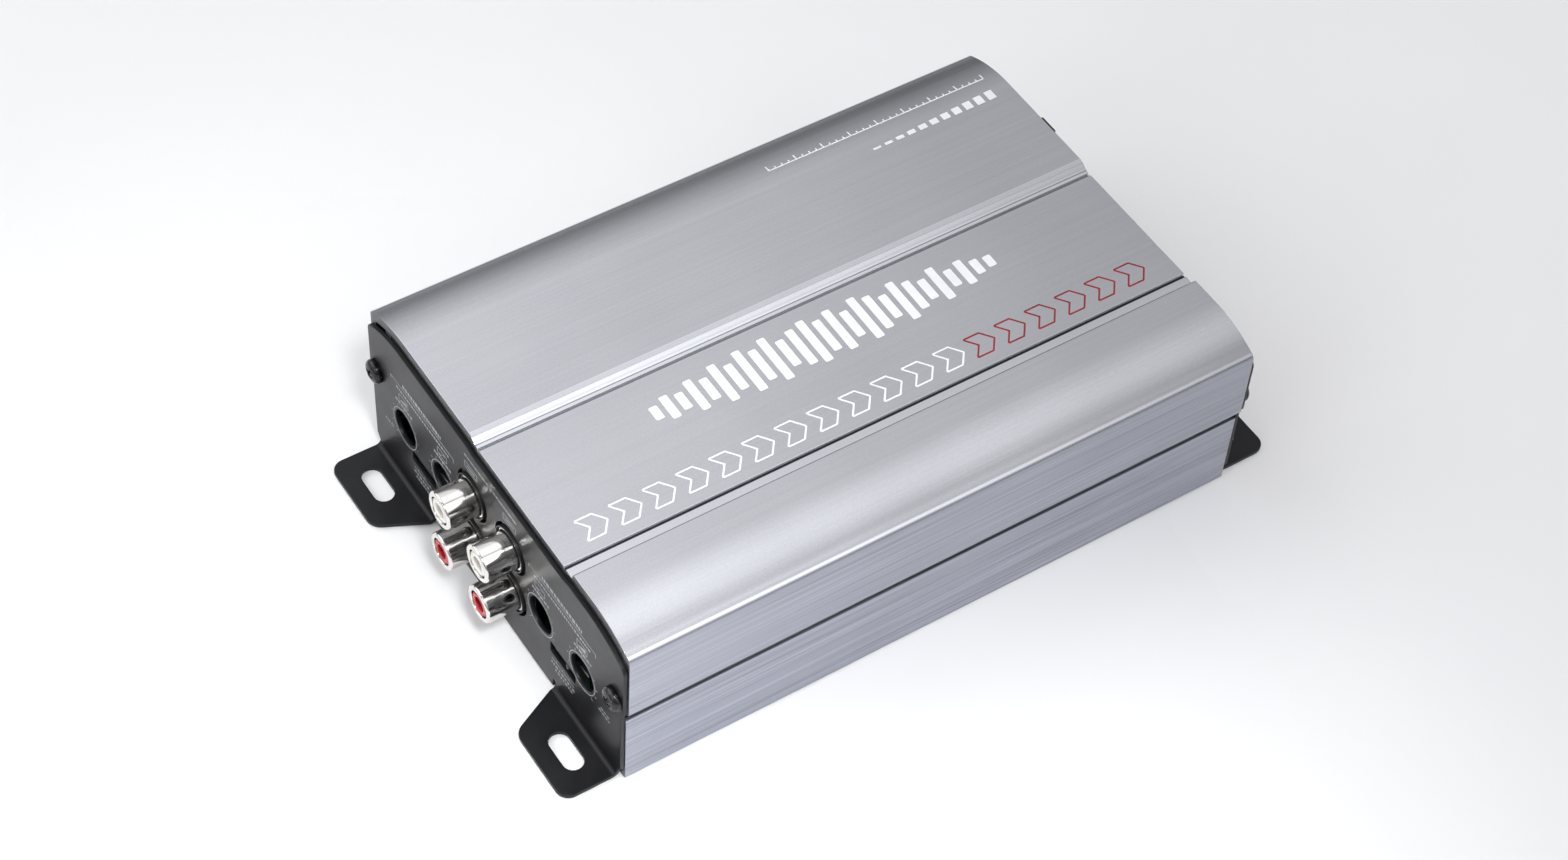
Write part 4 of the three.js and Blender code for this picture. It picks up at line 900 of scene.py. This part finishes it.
def dashes(u0, u1, v, hh, seed, lo=0.35, hi=1.3, gap=0.3):
    g = random.Random(seed)
    out, u = [], min(u0, u1)
    while u < max(u0, u1) - lo:
        w = min(g.uniform(lo, hi), max(u0, u1) - u)
        out.append((rect(u, u + w, v - hh / 2, v + hh / 2), []))
        u += w + gap
    return out


silk = []
for i, y in enumerate(POT_Y):
    silk.append(ring(y, POT_Z, 4.78, 0.2))
    for k in range(11):
        ang = 90 + 140 - 28 * k
        q = Vector((y, POT_Z)) + Vector((math.cos(math.radians(ang)), math.sin(math.radians(ang)))) * 5.8
        if any(abs(q.x - sy) < SW_L / 2 + 0.5 and abs(q.y - SW_Z) < SW_H / 2 + 0.5 for sy in SW_Y):
            continue
        silk.append(spoke(y, POT_Z, ang, 5.25, 6.05 if k in (0, 5, 10) else 5.7, 0.17))
    silk += digit("0", y + 5.6, 13.2, 1.0, -1) if i in (0, 3) else []
    silk.append(frame_box(y, 26.7, 3.9, 2.0))
    if i in (0, 3):
        silk.append(([(y + 1.3, 26.15), (y - 1.3, 26.15), (y - 1.3, 27.25)], []))
    else:
        silk.append((fillet([(y + 1.3, 26.1), (y + 1.3, 26.3), (y + 0.4, 26.3), (y - 0.5, 27.25), (y - 1.3, 27.25), (y - 1.3, 27.0), (y - 0.4, 27.0), (y + 0.5, 26.1)], 0.0), []))
    silk += dashes(y - 3.4, y + 3.4, 24.8, 0.6, 11 + i)
for i, (a, b) in enumerate(((40.4, 14.8), (-14.6, -39.6))):
    silk.append((rect(min(a, b), max(a, b), 30.3, 30.48), []))
    silk.append((rect(a - 0.09, a + 0.09, 29.3, 30.48), []))
    silk.append((rect(b - 0.09, b + 0.09, 29.3, 30.48), []))
    silk += dashes(min(a, b) + 5, max(a, b) - 5, 31.6, 0.95, 31 + i, 0.35, 1.2, 0.32)
    silk += dashes(min(a, b) + 2, max(a, b) - 2, 29.0, 0.62, 41 + i, 0.3, 0.9, 0.3)
for i, y in enumerate(SW_Y):
    silk.append((rect(y - 4.2, y + 4.2, 9.75, 9.9), []))
    for d in (-2.4, 0, 2.4):
        silk.append((rect(y + d - 0.09, y + d + 0.09, 9.75, 10.5), []))
    silk += dashes(y - 4.4, y + 4.4, 8.5, 0.55, 51 + i, 0.3, 0.9, 0.4)
    silk += dashes(y - 3.6, y + 3.6, 7.2, 0.5, 61 + i, 0.3, 0.8, 0.4)
for i, y in enumerate(JACK_Y):
    silk.append(frame_box(y, 34.6, 5.0, 1.9))
    silk.append((rect(y - 1.6, y + 1.6, 34.45, 34.75), []))
silk += dashes(-41.2, -44.6, 15.6, 0.35, 81) + dashes(-40.8, -44.8, 14.5, 0.35, 82) + dashes(41.0, 44.4, 13.4, 0.35, 83) + dashes(-10, 10, 37.4, 0.5, 84, 0.5, 1.6)
prints("silkscreen_input", silk, "silk", lambda u, v, a: (-(PX1 + a), u, v), lift=0.03, sink=0.02)

silk = []
silk.append(frame_box((HARN["y0"] + HARN["y1"]) / 2, 33.0, 9.0, 2.2))
silk += dashes(-9.5, 7.5, 35.6, 0.6, 91, 0.5, 1.7)
for k in range(8):
    silk.append((rect(-13.2 + 3.43 * k - 0.5, -13.2 + 3.43 * k + 0.5, 30.9, 31.15), []))
silk.append(frame_box(FUSE_Y, 27.6, 7.0, 2.2))
silk.append((rect(FUSE_Y - 2.6, FUSE_Y + 2.6, 27.45, 27.75), []))
silk += dashes(FUSE_Y - 7, FUSE_Y + 7, 30.2, 0.55, 92, 0.4, 1.4)
silk.append(ring(LED_Y, LED_Z, 2.5, 0.18, 40))
silk += dashes(41.2, 45.9, 9.4, 0.45, 93) + dashes(20, 38, 36.0, 0.55, 94, 0.5, 1.6) + dashes(FUSE_Y - 8, FUSE_Y + 8, 12.4, 0.45, 95, 0.4, 1.2)
prints("silkscreen_output", silk, "silk", lambda u, v, a: (PX1 + a, u, v), lift=0.03, sink=0.02)

# ---------------------------------------------------------------- floor, lights, camera
def floor():
    m = Mat("floor_white")
    n = m.noise((9, 9, 9), 3.0, 0.5)
    m.set(Base_Color=m.mix(n, (0.86, 0.862, 0.87), (0.89, 0.89, 0.895)), Roughness=0.65)
    me = bpy.data.meshes.new("floor")
    s = 1.6
    me.from_pydata([(-s, -s, 0), (s, -s, 0), (s, s, 0), (-s, s, 0)], [], [(0, 1, 2, 3)])
    me.materials.append(m.m)
    ob = bpy.data.objects.new("floor", me)
    scene.collection.objects.link(ob)
    ob.location.z = -0.0002


floor()


def softbox(name, place, aim, size, power, colour=(1, 1, 1), spread=180):
    d = bpy.data.lights.new(name, "AREA")
    d.shape, d.size, d.size_y, d.energy, d.color = "RECTANGLE", size[0], size[1], power, colour
    d.spread = math.radians(spread)
    ob = bpy.data.objects.new(name, d)
    ob.location = place
    ob.rotation_euler = (Vector(aim) - Vector(place)).to_track_quat("-Z", "Y").to_euler()
    scene.collection.objects.link(ob)
    return ob


softbox("back_left_key", (-1.0, 1.15, 1.15), (0, 0, 0), (2.2, 1.7), 22.0)
softbox("front_left_pool", (-0.16, -0.34, 0.60), (-0.115, -0.085, 0.0), (0.10, 0.10), 0.17, spread=40)
softbox("left_fill", (-1.5, -0.35, 0.9), (0, 0, 0), (0.7, 0.9), 4.0)


def studio_world():
    """Soft studio surround: brightness by direction, dark behind the object, a wide overhead panel and a lower front strip."""
    world = bpy.data.worlds.new("studio")
    scene.world = world
    world.use_nodes = True
    t = world.node_tree
    t.nodes.clear()
    new = t.nodes.new
    out, bg, seen, mix = new("ShaderNodeOutputWorld"), new("ShaderNodeBackground"), new("ShaderNodeBackground"), new("ShaderNodeMixShader")
    path, tc, sep = new("ShaderNodeLightPath"), new("ShaderNodeTexCoord"), new("ShaderNodeSeparateXYZ")
    t.links.new(tc.outputs["Generated"], sep.inputs[0])
    turn = new("ShaderNodeMath")
    turn.operation = "ARCTAN2"
    t.links.new(sep.outputs[2], turn.inputs[0])
    t.links.new(sep.outputs[1], turn.inputs[1])
    unit = new("ShaderNodeMapRange")
    t.links.new(turn.outputs[0], unit.inputs[0])
    unit.inputs["From Min"].default_value, unit.inputs["From Max"].default_value = 0.0, math.pi
    across = new("ShaderNodeMapRange")
    t.links.new(sep.outputs[0], across.inputs[0])
    across.inputs["From Min"].default_value, across.inputs["From Max"].default_value = -1.0, 1.0

    def curve(source, stops, unit_of, full):
        r = new("ShaderNodeValToRGB")
        t.links.new(source, r.inputs[0])
        el = r.color_ramp.elements
        for k, (a, v) in enumerate(stops):
            e = el[k] if k < 2 else el.new(unit_of(a))
            e.position = unit_of(a)
            e.color = (v / full, v / full, v / full, 1)
        return r.outputs[0]

    def join(op, a, b):
        n = new("ShaderNodeMath")
        n.operation = op
        for k, v in enumerate((a, b)):
            if isinstance(v, float):
                n.inputs[k].default_value = v
            else:
                t.links.new(v, n.inputs[k])
        return n.outputs[0]

    general = join("MULTIPLY", curve(unit.outputs[0], STOPS, lambda a: a / 180, 3.0), curve(across.outputs[0], ACROSS, lambda a: (a + 1) / 2, 2.0))
    strip = join("MULTIPLY", curve(unit.outputs[0], STRIP, lambda a: a / 180, 3.0), curve(across.outputs[0], STRIP_ACROSS, lambda a: (a + 1) / 2, 2.0))
    total = join("MULTIPLY", join("ADD", general, strip), 6.0)
    bg.inputs[0].default_value = (0.985, 0.99, 1.02, 1)
    t.links.new(total, bg.inputs[1])
    seen.inputs[0].default_value = (1, 1, 1, 1)
    t.links.new(path.outputs["Is Camera Ray"], mix.inputs[0])
    t.links.new(bg.outputs[0], mix.inputs[1])
    t.links.new(seen.outputs[0], mix.inputs[2])
    t.links.new(mix.outputs[0], out.inputs[0])


STOPS = [(0, 0.10), (180, 0.40), (8, 0.16), (26, 0.48), (46, 0.74), (57, 0.82), (68, 1.05), (80, 1.24), (90, 1.24), (98, 1.0), (106, 0.45), (112, 0.6), (150, 0.62), (160, 0.55)]
STRIP = [(0, 0.0), (180, 0.0), (107, 0.0), (110, 0.5), (113, 1.1), (122, 1.12), (129, 1.3), (139, 1.4), (148, 0.9), (160, 0.35)]
STRIP_ACROSS = [(-1, 0.1), (1, 0.0), (0.0, 0.5), (0.25, 1.3), (0.32, 1.2), (0.40, 0.76), (0.485, 0.17), (0.62, 0.08)]
ACROSS = [(-1, 0.3), (1, 0.2), (0, 0.55), (0.2, 1.38), (0.29, 1.32), (0.38, 1.02), (0.485, 0.66), (0.62, 0.42)]
studio_world()
scene.view_settings.view_transform = "Standard"

cam_data = bpy.data.cameras.new("camera")
cam = bpy.data.objects.new("camera", cam_data)
scene.collection.objects.link(cam)
scene.camera = cam
cam_data.sensor_width = 36.0
cam_data.lens = 73.344
cam_data.clip_start, cam_data.clip_end = 0.01, 20
rows = [Vector((0.839521, -0.541261, 0.047348)), Vector((-0.392864, -0.66492, -0.635248)), Vector((0.375317, 0.514702, -0.770856))]
turn = Matrix((rows[0], -rows[1], -rows[2])).transposed()
cam.matrix_world = Matrix.Translation(Vector((-251.391, -337.295, 517.872)) * MM) @ turn.to_4x4()
